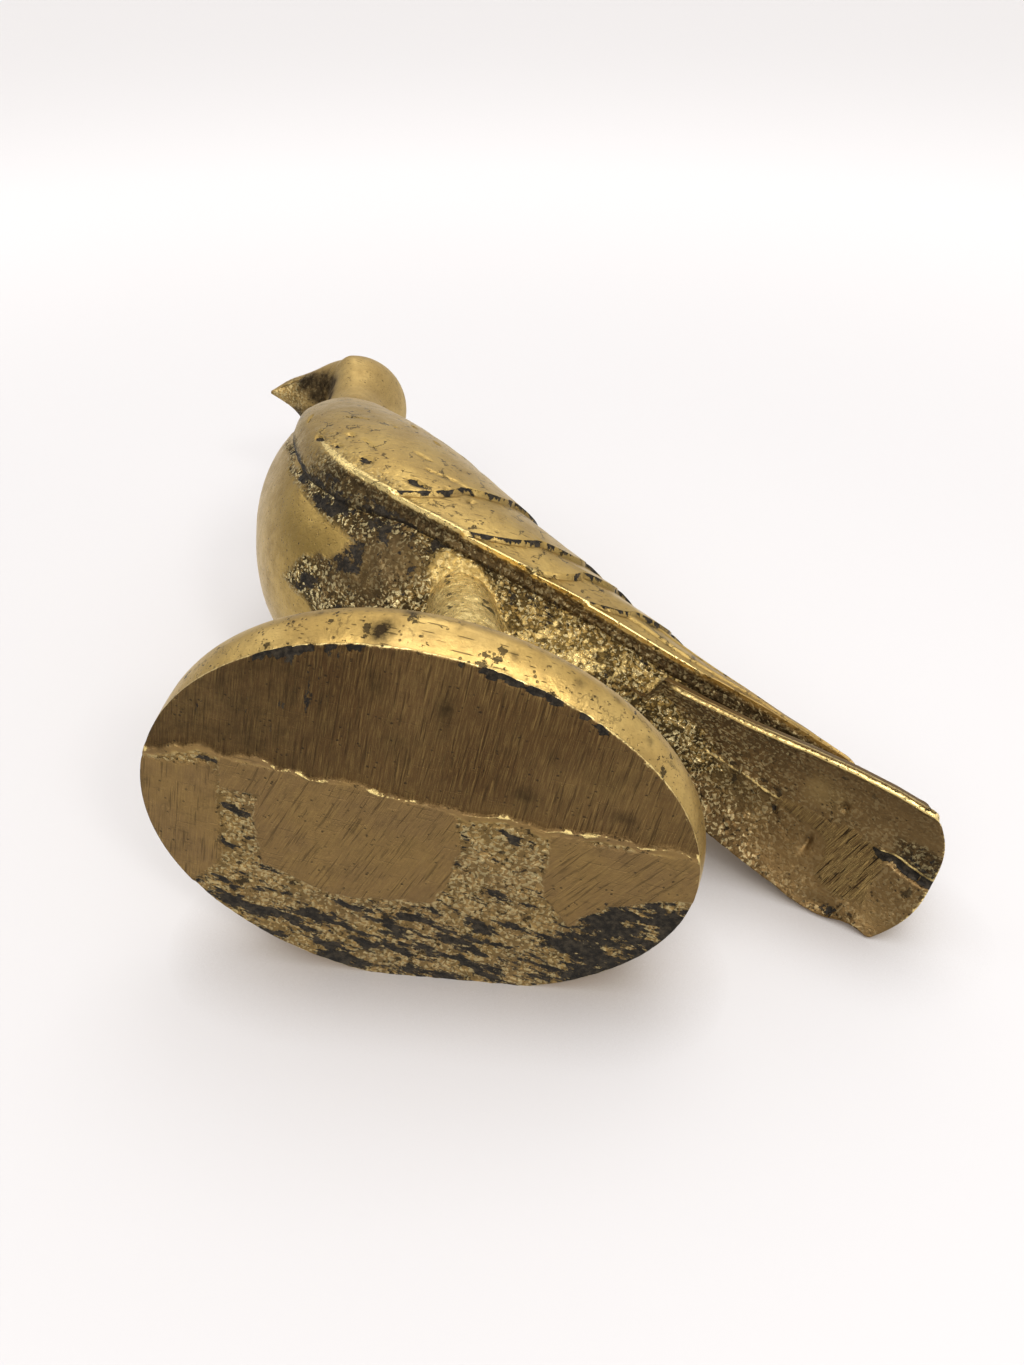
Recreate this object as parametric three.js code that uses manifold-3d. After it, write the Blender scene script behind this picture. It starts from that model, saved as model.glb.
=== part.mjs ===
// Brass pigeon figurine on an oval plinth, as eight separate castings that fit together.
// Millimetres. X points to the beak, Y to the bird's left, Z up.
// The origin is under the middle of the plinth, on the plane it stands on.

import * as THREE from 'three';
import { mergeVertices } from 'three/addons/utils/BufferGeometryUtils.js';
import Module from 'manifold-3d';

const wasm = await Module();
wasm.setup();

// Braze gap between any two castings.
const GAP = 0.3;

// Plinth: an oval slab with a sawn flat underside and a wall that swells above it.
const PLINTH_LENGTH = 72;
const PLINTH_WIDTH = 54.4;
const PLINTH_HEIGHT = 9.5;
const PLINTH_EGG_SHARE = 0.035;
const SIDE_BULGE = 2.6;
const REAR_BULGE = 0.7;
const BULGE_HEIGHT = 4;
const TOP_ROUNDING = 3.6;
const TOP_DOME = 0.15;
const TOP_FLAT_INSET = 8.5;
const FRONT_FLANK_POWER = 2.2;
const REAR_FLANK_POWER = 1.5;

// Profile of that wall below and above its widest line, in shares of the rise to there or from
// there to the top, of the bulge and of the top rounding.
const WALL_BELOW = [
  { rise: 0, swell: 0 },
  { rise: 0.28, swell: 0.4 },
  { rise: 0.62, swell: 0.78 },
];
const WALL_ABOVE = [
  { rise: 0, swell: 1, inset: 0 },
  { rise: 0.32, swell: 0.85, inset: 0 },
  { rise: 0.64, swell: 0.5, inset: 0.12 },
  { rise: 0.87, swell: 0, inset: 0.38 },
];

// Main sizes of the bird. The stance is the height of its spine above the plinth over the legs,
// and the rise is the height that the stations' rises are shares of.
const STANCE = 44;
const BIRD_LENGTH = 125;
const BIRD_RISE = 100;
const BIRD_WIDTH = 40;
const BIRD_DEPTH = 40;

// Stations along the bird, tail tip to beak tip, in shares of those sizes. Each has the spine's
// place along the bird, its rise above the stance, the half width, and the reach to the back and
// to the belly.
const STATIONS = [
  { along: -0.528, rise: -0.342, half: 0.215, back: 0.06, belly: 0.025 },
  { along: -0.448, rise: -0.288, half: 0.2325, back: 0.08, belly: 0.025 },
  { along: -0.352, rise: -0.222, half: 0.255, back: 0.12, belly: 0.03 },
  { along: -0.248, rise: -0.157, half: 0.2875, back: 0.19, belly: 0.1 },
  { along: -0.112, rise: -0.085, half: 0.3875, back: 0.305, belly: 0.2825 },
  { along: 0.032, rise: 0, half: 0.4975, back: 0.43, belly: 0.445 },
  { along: 0.144, rise: 0.105, half: 0.5425, back: 0.505, belly: 0.5125 },
  { along: 0.22, rise: 0.245, half: 0.51, back: 0.455, belly: 0.4375 },
  { along: 0.26, rise: 0.405, half: 0.4, back: 0.355, belly: 0.3275 },
  { along: 0.28, rise: 0.545, half: 0.295, back: 0.245, belly: 0.215 },
  { along: 0.3, rise: 0.655, half: 0.265, back: 0.19, belly: 0.165 },
  { along: 0.3275, rise: 0.7595, half: 0.3325, back: 0.346, belly: 0.135 },
  { along: 0.358, rise: 0.7935, half: 0.264, back: 0.283, belly: 0.143 },
  { along: 0.396, rise: 0.798, half: 0.1785, back: 0.16, belly: 0.11 },
  { along: 0.432, rise: 0.7955, half: 0.094, back: 0.118, belly: 0.062 },
  { along: 0.472, rise: 0.77, half: 0.01, back: 0.01, belly: 0.01 },
].map(({ along, rise, half, back, belly }) => ({
  x: BIRD_LENGTH * along,
  z: STANCE + BIRD_RISE * rise,
  half: BIRD_WIDTH * half,
  back: BIRD_DEPTH * back,
  belly: BIRD_DEPTH * belly,
}));
const SECTION_POWER = 2.1;

// Legs: two tapered stumps that lean forward, each with a round tenon under it.
const LEG_FOOT_X = -2;
const LEG_SPREAD = 11.2;
const LEG_FOOT_RADIUS = 7.6;
const LEG_TOP_RADIUS = 4.6;
const LEG_LET_IN = 3;
const LEG_HEIGHT = STANCE + LEG_LET_IN;
const LEG_LEAN = 9;
const LEG_TOP_INSET = 1.2;
const LEG_TAPER_POWER = 0.8;
const LEG_LEAN_POWER = 1.6;
const TENON_RADIUS = 3.5;
const TENON_DEPTH = 5;

// The body runs from the rump to the middle of the neck, the head from there to the beak tip.
const RUMP_STATION = 2;
const NECK_STATION = 9.5;
const SPIGOT_RADIUS = 5;
const SPIGOT_LENGTH = 6;
const SPIGOT_ROOT = 2;

// Tail: a blade whose sides hang lower than its middle, with a tongue let into the rump.
// Its right side is narrower at the root. Its end bows out in the middle, runs longer at the
// right corner and is bevelled, so that the upper side is the shorter one.
const TAIL_ROOT_STATION = STATIONS[3];
const TAIL_DROP = 1.3;
const TAIL_RUN = 40.3;
const TAIL_FALL = 21.8;
const TAIL_ROOT = { x: TAIL_ROOT_STATION.x, z: TAIL_ROOT_STATION.z - TAIL_DROP };
const TAIL_TIP = { x: TAIL_ROOT.x - TAIL_RUN, z: TAIL_ROOT.z - TAIL_FALL };
const TAIL_ROOT_HALF = 12.7;
const TAIL_TIP_HALF = 12.1;
const TAIL_ROOT_TRIM = 1.3;
const TAIL_ROOT_SAG = 4.4;
const TAIL_TIP_SAG = 2.9;
const TAIL_THICKNESS = 4;
const TAIL_EDGE = 1.6;
const TAIL_BOW = 3.2;
const TAIL_SKEW = 0.5;
const TAIL_BEVEL = 1.5;
const TAIL_CORNER = 1.5;
const TAIL_BOW_POWER = 3;
const TAIL_END_POWER = 6;
const TAIL_TRIM_POWER = 2;
const TAIL_EDGE_LEAN = 0.98;
const TONGUE_LENGTH = 6;
const TONGUE_HALF = 7;
const TONGUE_FLARE = 2;

// Wings: shells on the flanks. Angles are degrees around the section, zero at the widest line.
// The ridge runs along each wing's lower edge, and a hollow band joins it to the seam below.
const WING_TIP_STATION = 0.75;
const WING_FRONT_STATION = 8.15;
const FRONT_BULGE_SHARE = 0.35;
const CREST_SWEEP_STATIONS = 5;
const RIDGE_SWEEP_STATIONS = 3;
const WING_THICKNESS = 2.4;
const TIP_THICKNESS_SHARE = 0.7;
const TAPER_STATION = 4;
const RIDGE_RISE = 0.5;
const EDGE_SINK = 1;
const EDGE_ROUND = 4;
const WING_RISE = 22;
const TIP_BLUNTNESS = 0.4;
const SHOULDER_FROM = 5.3;
const SHOULDER_TO = 6.4;
const BAND_PLACE = 0.55;
const BAND_SHARE = 0.3;
const SHOULDER_BAND_SHARE = 0.72;
const ROOT_FROM = 1.6;
const ROOT_TO = 3.2;
const TAIL_ROOT_SHARE = 0.2;
const BODY_ROOT_SHARE = 0.9;
const SEAM = [
  [0.7, -34], [2, -34], [3, -25], [3.7, -21], [4.5, -26],
  [5.3, -31], [5.8, -41], [6.3, -45], [8.2, -46],
];
const RIDGE = [[0.7, -6], [2, -8], [2.9, -14], [4, -18], [5.2, -24], [6, -28], [8.2, -32]];
const CREST = [[0.7, 85], [2.5, 83], [4, 78], [5.5, 70], [7, 58], [8.2, 44]];

// Feather rows: the station of each row's free edge at the ridge, half way up and at the crest.
const ROWS = [
  [3.85, 3.2, 2.85],
  [4.3, 3.78, 3.5],
  [4.85, 4.12, 3.95],
  [5.5, 4.92, 4.7],
];
const ROW_STEP = 0.9;
const ROW_STEP_STATIONS = 0.03;
const SCALLOP_STATIONS = 0.07;
const FEATHERS_PER_ROW = 4;

// Wing pegs: one round peg behind each wing, let into the flank.
const PEG_STATION = 5.6;
const PEG_RADIUS = 3;
const PEG_DEPTH = 5;

// Facets.
const PLINTH_SIDES = 72;
const BODY_RINGS = 30;
const BODY_SIDES = 36;
const HEAD_RINGS = 24;
const HEAD_SIDES = 28;
const LEG_RINGS = 8;
const LEG_SIDES = 24;
const TAIL_RINGS = 11;
const TAIL_CORNER_RINGS = 3;
const TAIL_SPANS = 10;
const WING_UPPER_SPANS = 11;
const WING_COLUMN_SPANS = [9, 3, 3, 4, 9];

const radians = THREE.MathUtils.degToRad;
const lerp = THREE.MathUtils.lerp;

// Joins rings of equal length into one closed solid, each end shut by a fan.
function solidFromRings(rings) {
  const sides = rings[0].length;
  const vertices = rings.flat();
  const triangles = [];
  for (let i = 0; i < rings.length - 1; i += 1) {
    for (let j = 0; j < sides; j += 1) {
      const a = i * sides + j;
      const b = i * sides + (j + 1) % sides;
      triangles.push(a, b, b + sides, a, b + sides, a + sides);
    }
  }
  for (const [start, flip] of [[0, true], [(rings.length - 1) * sides, false]]) {
    const middle = new THREE.Vector3();
    for (let j = 0; j < sides; j += 1) {
      middle.addScaledVector(vertices[start + j], 1 / sides);
    }
    vertices.push(middle);
    for (let j = 0; j < sides; j += 1) {
      const a = start + j;
      const b = start + (j + 1) % sides;
      triangles.push(...(flip ? [b, a, vertices.length - 1] : [a, b, vertices.length - 1]));
    }
  }
  return solidFromArrays(vertices.flatMap((p) => [p.x, p.y, p.z]), triangles);
}

function solidFromArrays(coordinates, triangles) {
  const vertProperties = new Float32Array(coordinates);
  const triVerts = new Uint32Array(triangles);
  const solid = new wasm.Manifold(new wasm.Mesh({ numProp: 3, vertProperties, triVerts }));
  if (solid.volume() > 0) {
    return solid;
  }
  const reversed = triVerts.slice().reverse();
  return new wasm.Manifold(new wasm.Mesh({ numProp: 3, vertProperties, triVerts: reversed }));
}

// A round pin between two points.
function pin(from, to, radius) {
  const axis = new THREE.Vector3().subVectors(to, from);
  const geometry = new THREE.CylinderGeometry(radius, radius, axis.length(), LEG_SIDES);
  geometry.deleteAttribute('normal');
  geometry.deleteAttribute('uv');
  const turn = new THREE.Quaternion().setFromUnitVectors(new THREE.Vector3(0, 1, 0), axis.normalize());
  geometry.applyQuaternion(turn);
  const middle = new THREE.Vector3().addVectors(from, to).multiplyScalar(0.5);
  geometry.translate(middle.x, middle.y, middle.z);
  const merged = mergeVertices(geometry, 1e-4);
  return solidFromArrays(Array.from(merged.attributes.position.array), Array.from(merged.index.array));
}

// A value read from a table of [station, value] pairs, joined by straight lines.
function fromTable(table, station) {
  if (station <= table[0][0]) {
    return table[0][1];
  }
  for (let i = 1; i < table.length; i += 1) {
    if (station <= table[i][0]) {
      const share = (station - table[i - 1][0]) / (table[i][0] - table[i - 1][0]);
      return lerp(table[i - 1][1], table[i][1], share);
    }
  }
  return table[table.length - 1][1];
}

// The bird's skin. The spine and the three reaches run smoothly through the stations.
const spine = new THREE.CatmullRomCurve3(
  STATIONS.map((s) => new THREE.Vector3(s.x, 0, s.z)), false, 'catmullrom', 0.5);
const reaches = new THREE.CatmullRomCurve3(
  STATIONS.map((s) => new THREE.Vector3(s.half, s.back, s.belly)), false, 'catmullrom', 0.5);

function superellipse(value) {
  return Math.sign(value) * Math.abs(value) ** (2 / SECTION_POWER);
}

// The point at a station and an angle around the section, moved out by grow.
function skin(station, angle, grow = 0) {
  const share = station / (STATIONS.length - 1);
  const centre = spine.getPoint(share);
  const along = spine.getTangent(share);
  const reach = reaches.getPoint(share);
  const up = superellipse(Math.sin(angle));
  const across = (reach.x + grow) * superellipse(Math.cos(angle));
  const rise = ((up > 0 ? reach.y : reach.z) + grow) * up;
  return new THREE.Vector3(centre.x - along.z * rise, across, centre.z + along.x * rise);
}

function skinRings(from, to, count, sides, grow = 0) {
  const rings = [];
  for (let i = 0; i <= count; i += 1) {
    const ring = [];
    for (let j = 0; j < sides; j += 1) {
      ring.push(skin(lerp(from, to, i / count), (2 * Math.PI * j) / sides, grow));
    }
    rings.push(ring);
  }
  return rings;
}

// The length of spine, in stations, that a short run of millimetres takes at a station.
function stationsFor(length, station) {
  const share = station / (STATIONS.length - 1);
  const step = 1e-3;
  const run = spine.getPoint(share + step).distanceTo(spine.getPoint(share - step));
  return (length * 2 * step * (STATIONS.length - 1)) / run;
}

// Plinth.
function plinthRing(height, swell, inset) {
  const ring = [];
  for (let j = 0; j < PLINTH_SIDES; j += 1) {
    const angle = (2 * Math.PI * j) / PLINTH_SIDES;
    const front = Math.cos(angle) > 0;
    const flank = Math.abs(Math.sin(angle)) ** (front ? FRONT_FLANK_POWER : REAR_FLANK_POWER);
    const end = front ? 0 : REAR_BULGE;
    const offset = swell * lerp(end, SIDE_BULGE, flank) - inset;
    const x = (PLINTH_LENGTH / 2 + offset) * Math.cos(angle);
    const y = (PLINTH_WIDTH / 2 + offset) * Math.sin(angle) * (1 + PLINTH_EGG_SHARE * Math.cos(angle));
    ring.push(new THREE.Vector3(x, y, height));
  }
  return ring;
}

function plinthSolid() {
  const slab = solidFromRings([
    ...WALL_BELOW.map(({ rise, swell }) => plinthRing(BULGE_HEIGHT * rise, swell, 0)),
    ...WALL_ABOVE.map(({ rise, swell, inset }) => (
      plinthRing(lerp(BULGE_HEIGHT, PLINTH_HEIGHT, rise), swell, TOP_ROUNDING * inset))),
    plinthRing(PLINTH_HEIGHT - TOP_DOME, 0, TOP_ROUNDING),
    plinthRing(PLINTH_HEIGHT, 0, TOP_FLAT_INSET),
  ]);
  return [1, -1].reduce((solid, side) => {
    const bottom = new THREE.Vector3(LEG_FOOT_X, side * LEG_SPREAD, PLINTH_HEIGHT - TENON_DEPTH - GAP);
    const top = new THREE.Vector3(LEG_FOOT_X, side * LEG_SPREAD, PLINTH_HEIGHT + GAP);
    return solid.subtract(pin(bottom, top, TENON_RADIUS + GAP));
  }, slab);
}

// Legs, measured from the top of the plinth.
function legShaft(side, grow) {
  const rings = [];
  for (let i = 0; i <= LEG_RINGS; i += 1) {
    const share = i / LEG_RINGS;
    const height = lerp(GAP - grow, LEG_HEIGHT + grow, share);
    const radius = lerp(LEG_FOOT_RADIUS, LEG_TOP_RADIUS, share ** LEG_TAPER_POWER) + grow;
    const x = LEG_FOOT_X + LEG_LEAN * share ** LEG_LEAN_POWER;
    const y = side * (LEG_SPREAD - LEG_TOP_INSET * share);
    const ring = [];
    for (let j = 0; j < LEG_SIDES; j += 1) {
      const angle = (2 * Math.PI * j) / LEG_SIDES;
      ring.push(new THREE.Vector3(x + radius * Math.cos(angle), y + radius * Math.sin(angle), height));
    }
    rings.push(ring);
  }
  return solidFromRings(rings);
}

function legSolid(side) {
  const bottom = new THREE.Vector3(LEG_FOOT_X, side * LEG_SPREAD, -TENON_DEPTH);
  const top = new THREE.Vector3(LEG_FOOT_X, side * LEG_SPREAD, LEG_FOOT_RADIUS);
  return legShaft(side, 0).add(pin(bottom, top, TENON_RADIUS));
}

// Tail blade, with sections square to the line from its root to its tip.
function tailSolid(grow) {
  const run = new THREE.Vector2(TAIL_TIP.x - TAIL_ROOT.x, TAIL_TIP.z - TAIL_ROOT.z);
  const straight = run.length() - TAIL_BOW;
  run.normalize();
  const rings = [];
  const places = [-TONGUE_LENGTH - grow, -TONGUE_FLARE, -TONGUE_FLARE / 2];
  for (let i = 0; i <= TAIL_RINGS; i += 1) {
    places.push(lerp(0, straight - TAIL_CORNER, i / TAIL_RINGS));
  }
  for (let i = 1; i <= TAIL_CORNER_RINGS; i += 1) {
    const turned = Math.sin((i / TAIL_CORNER_RINGS) * (Math.PI / 2));
    places.push(straight - TAIL_CORNER + (TAIL_CORNER + grow) * turned);
  }
  for (const place of places) {
    const share = Math.max(0, place / straight);
    const blade = lerp(TAIL_ROOT_HALF, TAIL_TIP_HALF, share);
    const flare = THREE.MathUtils.clamp(1 + place / TONGUE_FLARE, 0, 1);
    const turned = Math.max(0, (place - straight + TAIL_CORNER) / (TAIL_CORNER + grow));
    const corner = TAIL_CORNER * (1 - Math.sqrt(1 - turned ** 2));
    const trim = TAIL_ROOT_TRIM * flare * Math.max(0, 1 - share) ** TAIL_TRIM_POWER;
    const half = lerp(TONGUE_HALF, blade, flare) - corner + grow;
    const sag = lerp(TAIL_ROOT_SAG, TAIL_TIP_SAG, share) * (half / blade) ** 2;
    const edge = TAIL_EDGE + 2 * grow;
    const crown = TAIL_THICKNESS + 2 * grow - edge;
    const ring = [];
    const spot = (across, level, bevel) => {
      const curve = TAIL_BOW * (1 - Math.abs(across) ** TAIL_BOW_POWER) - TAIL_SKEW * across - bevel;
      const along = place + curve * share ** TAIL_END_POWER;
      const x = TAIL_ROOT.x + run.x * along - run.y * level;
      const z = TAIL_ROOT.z + run.y * along + run.x * level;
      return new THREE.Vector3(x, across * (across < 0 ? half - trim : half), z);
    };
    for (let j = 0; j <= TAIL_SPANS; j += 1) {
      const across = lerp(-1, 1, j / TAIL_SPANS);
      ring.push(spot(across, sag * across * across + grow, 0));
    }
    for (let j = TAIL_SPANS; j >= 0; j -= 1) {
      const across = lerp(-1, 1, j / TAIL_SPANS);
      const level = sag * across * across + grow - edge - crown * (1 - across * across);
      ring.push(spot(across * TAIL_EDGE_LEAN, level, TAIL_BEVEL));
    }
    rings.push(ring);
  }
  return solidFromRings(rings);
}

// Share of the full depth at a distance in from an edge of the wing, a quarter circle.
function wingRounding(distance) {
  const share = THREE.MathUtils.clamp(distance / EDGE_ROUND, 0, 1);
  return Math.sqrt(1 - (1 - share) ** 2);
}

// Station of a row's free edge at a height between ridge and crest, with its feather ends.
function rowEdge(row, height) {
  const [low, middle, high] = row;
  const line = low + (4 * middle - 3 * low - high) * height + 2 * (low + high - 2 * middle) * height ** 2;
  return line - SCALLOP_STATIONS * Math.abs(Math.sin(Math.PI * FEATHERS_PER_ROW * height));
}

// Columns of the wing from tip to shoulder: the station of each and its share of the row step.
function wingColumns(height) {
  const sweep = height > FRONT_BULGE_SHARE ? CREST_SWEEP_STATIONS : RIDGE_SWEEP_STATIONS;
  const front = WING_FRONT_STATION - sweep * (height - FRONT_BULGE_SHARE) ** 2;
  const edges = [WING_TIP_STATION, ...ROWS.map((row) => rowEdge(row, height)), front];
  const last = ROWS.length;
  const columns = [];
  for (let i = 0; i <= last; i += 1) {
    const from = edges[i] + (i > 0 ? ROW_STEP_STATIONS : 0);
    const to = edges[i + 1] - (i < last ? ROW_STEP_STATIONS : 0);
    for (let k = 0; k <= WING_COLUMN_SPANS[i]; k += 1) {
      const share = k / WING_COLUMN_SPANS[i];
      const eased = i === last ? Math.sin((share * Math.PI) / 2) : share;
      const step = i === 0 ? -0.5 : 0.5 - eased;
      columns.push({ station: lerp(from, to, eased), step, front });
    }
  }
  return columns;
}

// Heights run from ridge to crest as 0 to 1. Below them -2 is the seam and -1 the hollow band.
function wingSolid(side) {
  const heights = [-2, -1, 0];
  for (let j = 1; j <= WING_UPPER_SPANS; j += 1) {
    heights.push(Math.sin(((j / WING_UPPER_SPANS) * Math.PI) / 2));
  }
  const strips = heights.map((height) => {
    const outer = [];
    const inner = [];
    for (const { station, step, front } of wingColumns(Math.max(0, height))) {
      const seam = fromTable(SEAM, station);
      const ridge = fromTable(RIDGE, station);
      const crest = fromTable(CREST, station);
      const shoulder = THREE.MathUtils.smoothstep(station, SHOULDER_FROM, SHOULDER_TO);
      const taper = lerp(TIP_THICKNESS_SHARE, 1, Math.min(1, station / TAPER_STATION));
      const full = WING_THICKNESS * taper + ROW_STEP * step * Math.min(1, taper);
      const toFront = (front - station) / stationsFor(1, station);
      const toTip = (station - WING_TIP_STATION) / stationsFor(1, station);
      const rounding = wingRounding(toFront) * Math.max(TIP_BLUNTNESS, wingRounding(toTip));
      let angle = lerp(ridge, crest, height);
      let depth = lerp(-EDGE_SINK, full, wingRounding((1 - height) * WING_RISE * taper));
      if (height === 0) {
        depth = full + RIDGE_RISE * (1 - shoulder);
      } else if (height === -1) {
        angle = lerp(seam, ridge, BAND_PLACE);
        depth = full * lerp(BAND_SHARE, SHOULDER_BAND_SHARE, shoulder);
      } else if (height === -2) {
        angle = seam;
        depth = -EDGE_SINK;
      }
      const point = skin(station, radians(angle), lerp(-EDGE_SINK, depth, rounding));
      const overBody = THREE.MathUtils.smoothstep(station, ROOT_FROM, ROOT_TO);
      const root = spine.getPoint(station / (STATIONS.length - 1));
      root.lerp(skin(station, radians(angle)), lerp(TAIL_ROOT_SHARE, BODY_ROOT_SHARE, overBody));
      outer.push(new THREE.Vector3(point.x, point.y * side, point.z));
      inner.push(new THREE.Vector3(root.x, root.y * side, root.z));
    }
    return [...outer, ...inner.reverse()];
  });
  const solid = solidFromRings(strips);
  const cleared = solid.subtract(grownBody).subtract(grownTail);
  return cleared.add(wingPeg(side, 0));
}

function wingPeg(side, grow) {
  const seat = skin(PEG_STATION, 0);
  const from = new THREE.Vector3(seat.x, side * (seat.y - PEG_DEPTH - grow), seat.z);
  const to = new THREE.Vector3(seat.x, side * (seat.y + WING_THICKNESS / 2), seat.z);
  return pin(from, to, PEG_RADIUS + grow);
}

// Neck spigot under the head, along the spine.
function spigot(grow) {
  const share = NECK_STATION / (STATIONS.length - 1);
  const along = spine.getTangent(share);
  const seat = spine.getPoint(share);
  const from = seat.clone().addScaledVector(along, -SPIGOT_LENGTH - grow);
  const to = seat.clone().addScaledVector(along, SPIGOT_ROOT);
  return pin(from, to, SPIGOT_RADIUS + grow);
}

const grownTail = tailSolid(GAP);
const grownBody = solidFromRings(skinRings(
  RUMP_STATION - stationsFor(GAP, RUMP_STATION), NECK_STATION, BODY_RINGS, BODY_SIDES, GAP));

function bodySolid() {
  const neck = NECK_STATION - stationsFor(GAP, NECK_STATION);
  let solid = solidFromRings(skinRings(RUMP_STATION, neck, BODY_RINGS, BODY_SIDES));
  solid = solid.subtract(grownTail).subtract(spigot(GAP));
  for (const side of [1, -1]) {
    solid = solid.subtract(legShaft(side, GAP)).subtract(wingPeg(side, GAP));
  }
  return solid;
}

function headSolid() {
  const last = STATIONS.length - 1;
  return solidFromRings(skinRings(NECK_STATION, last, HEAD_RINGS, HEAD_SIDES)).add(spigot(0));
}

// One named mesh of a solid, in its own brass.
function casting(name, solid, color, roughness) {
  const { vertProperties, triVerts } = solid.getMesh();
  const geometry = new THREE.BufferGeometry();
  geometry.setAttribute('position', new THREE.BufferAttribute(vertProperties, 3));
  geometry.setIndex(new THREE.BufferAttribute(triVerts, 1));
  geometry.computeVertexNormals();
  const mesh = new THREE.Mesh(geometry, new THREE.MeshStandardMaterial({ color, roughness, metalness: 1 }));
  mesh.name = name;
  return mesh;
}

const bird = new THREE.Group();
bird.position.z = PLINTH_HEIGHT;
bird.add(
  casting('leg_left', legSolid(1), 0xb89a4c, 0.42),
  casting('leg_right', legSolid(-1), 0xb89a4c, 0.42),
  casting('body', bodySolid(), 0xa5884b, 0.4),
  casting('head', headSolid(), 0xb39a62, 0.36),
  casting('wing_left', wingSolid(1), 0xb0935a, 0.36),
  casting('wing_right', wingSolid(-1), 0xb0935a, 0.36),
  casting('tail', tailSolid(0), 0x7a6238, 0.5),
);

const figurine = new THREE.Group();
figurine.add(casting('plinth', plinthSolid(), 0xa98c52, 0.38), bird);

export default figurine;
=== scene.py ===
import bpy
import numpy as np
from mathutils import Matrix, Vector


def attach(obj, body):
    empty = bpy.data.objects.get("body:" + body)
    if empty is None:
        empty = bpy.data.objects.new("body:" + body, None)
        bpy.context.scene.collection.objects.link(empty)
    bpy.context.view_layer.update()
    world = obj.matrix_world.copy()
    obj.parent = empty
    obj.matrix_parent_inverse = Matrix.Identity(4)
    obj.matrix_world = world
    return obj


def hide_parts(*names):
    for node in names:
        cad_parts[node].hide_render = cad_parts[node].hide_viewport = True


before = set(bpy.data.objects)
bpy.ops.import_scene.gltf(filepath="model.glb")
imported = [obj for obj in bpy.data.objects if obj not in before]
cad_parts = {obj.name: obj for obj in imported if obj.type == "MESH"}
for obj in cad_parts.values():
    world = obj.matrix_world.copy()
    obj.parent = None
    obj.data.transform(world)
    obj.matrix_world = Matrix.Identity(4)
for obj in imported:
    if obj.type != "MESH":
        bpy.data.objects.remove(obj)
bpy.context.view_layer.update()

# Plinth: an oval slab of sand-cast brass. Its wall is filed round and polished. Its underside
# was sawn from two sides, which left a torn step, and then ground flat in a few patches.
PLINTH_LENGTH = 72.0
PLINTH_WIDTH = 54.4
PLINTH_HEIGHT = 9.5
PLINTH_EGG = 0.035
SIDE_BULGE = 2.57
TAIL_END_BULGE = 0.7
BULGE_HEIGHT = 4.0
SAW_STEP = 0.34
# Places up the wall: height, share of the bulge, and how far the rounding is drawn in.
WALL = [(0, 0, 0), (1.12, 0.4, 0), (2.48, 0.78, 0), (4, 1, 0), (5.76, 0.85, 0), (7.52, 0.5, 0.43),
        (8.785, 0, 1.37), (9.35, 0, 3.6), (9.5, 0, 8.5)]
# The torn step between the two saw cuts, from the beak end to the tail end.
TORN_STEP_X = [-37, -34.2, -29.4, -27, -25, -19.3, -15.2, -13.9, -12.9, -9.8, -6.8, -4, -2.4, 1.3, 5.8, 7.8,
               10.4, 12.6, 14.7, 17.4, 19, 20.1, 23.6, 25.8, 29, 34.3, 37]
TORN_STEP_Y = [7.6, 7.8, 7.8, 7.2, 7.7, 7.1, 6.1, 6.1, 6.7, 6.8, 5.7, 6, 5.9, 5.6, 5.3, 6, 6.2, 5.8, 5.3,
               5.8, 5.4, 6.5, 6.2, 5.7, 6.5, 4.2, 4]
# Corners of the three patches ground flat, and of the band along the lower rim that stayed sooty: x and y.
GROUND_FRONT = [(37, 2), (26.6, 3.8), (25.6, -6), (24.7, -12.2), (28, -17), (34, -19)]
GROUND_MIDDLE = [(26.2, 5.2), (12, 5.6), (-3.8, 5.2), (-5.5, -0.3), (-4.9, -7.8), (-3.5, -11), (3, -12.6),
                 (9.7, -13.4), (19.3, -11.3), (21, -4), (20.8, 0.8), (25.8, 0.2)]
GROUND_REAR = [(-16, 5.5), (-37, 7), (-37, 0.5), (-29.7, -1.6), (-25.5, -4.5), (-22.3, -9.4), (-17.6, -5)]
SOOT_BAND = [(29.5, -16.5), (23.3, -15), (18.9, -18), (9.8, -14.6), (5, -13.4), (-3.5, -12.4), (-8.6, -12),
             (-19.2, -10.9), (-23.6, -8.6), (-25.6, -4.2), (-29.6, -1.9), (-38, 0), (-44, -20), (0, -46),
             (40, -26)]
# Places on the underside that stay black, and brown ovals on the sawn half: x, y, half length,
# half width and strength.
BLACK_SPOTS = [(23.7, -0.6, 1.3, 0.8, 0.7), (25.2, -8.3, 0.9, 1.6, 0.6), (-6, 0.2, 0.9, 0.5, 0.6),
               (-11.6, 3.5, 1.1, 0.6, 0.8), (-13.2, -5.4, 2.4, 0.6, 0.6), (-16.6, -7.2, 2.4, 0.7, 0.7)]
BROWN_OVALS = [(0.1, 20.2, 1.1, 2.7, 0.75), (-11.5, 10.7, 1.8, 1.1, 0.7), (-24, 10.9, 1.5, 0.9, 0.6),
               (8.9, 21.9, 1.2, 1.6, 0.6), (22.0, 19.5, 5.0, 3.5, 0.4), (18.8, 20.8, 2.4, 2.0, 0.45),
               (35.7, 12.8, 1.0, 2.5, 0.6), (36, -1.6, 0.9, 1.8, 0.5), (35.1, -10.1, 1.0, 1.6, 0.5),
               (5.0, 14.0, 3.0, 2.2, 0.25), (27.0, 13.0, 4.0, 3.0, 0.3), (-20.0, 16.0, 3.0, 2.0, 0.25)]
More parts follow.
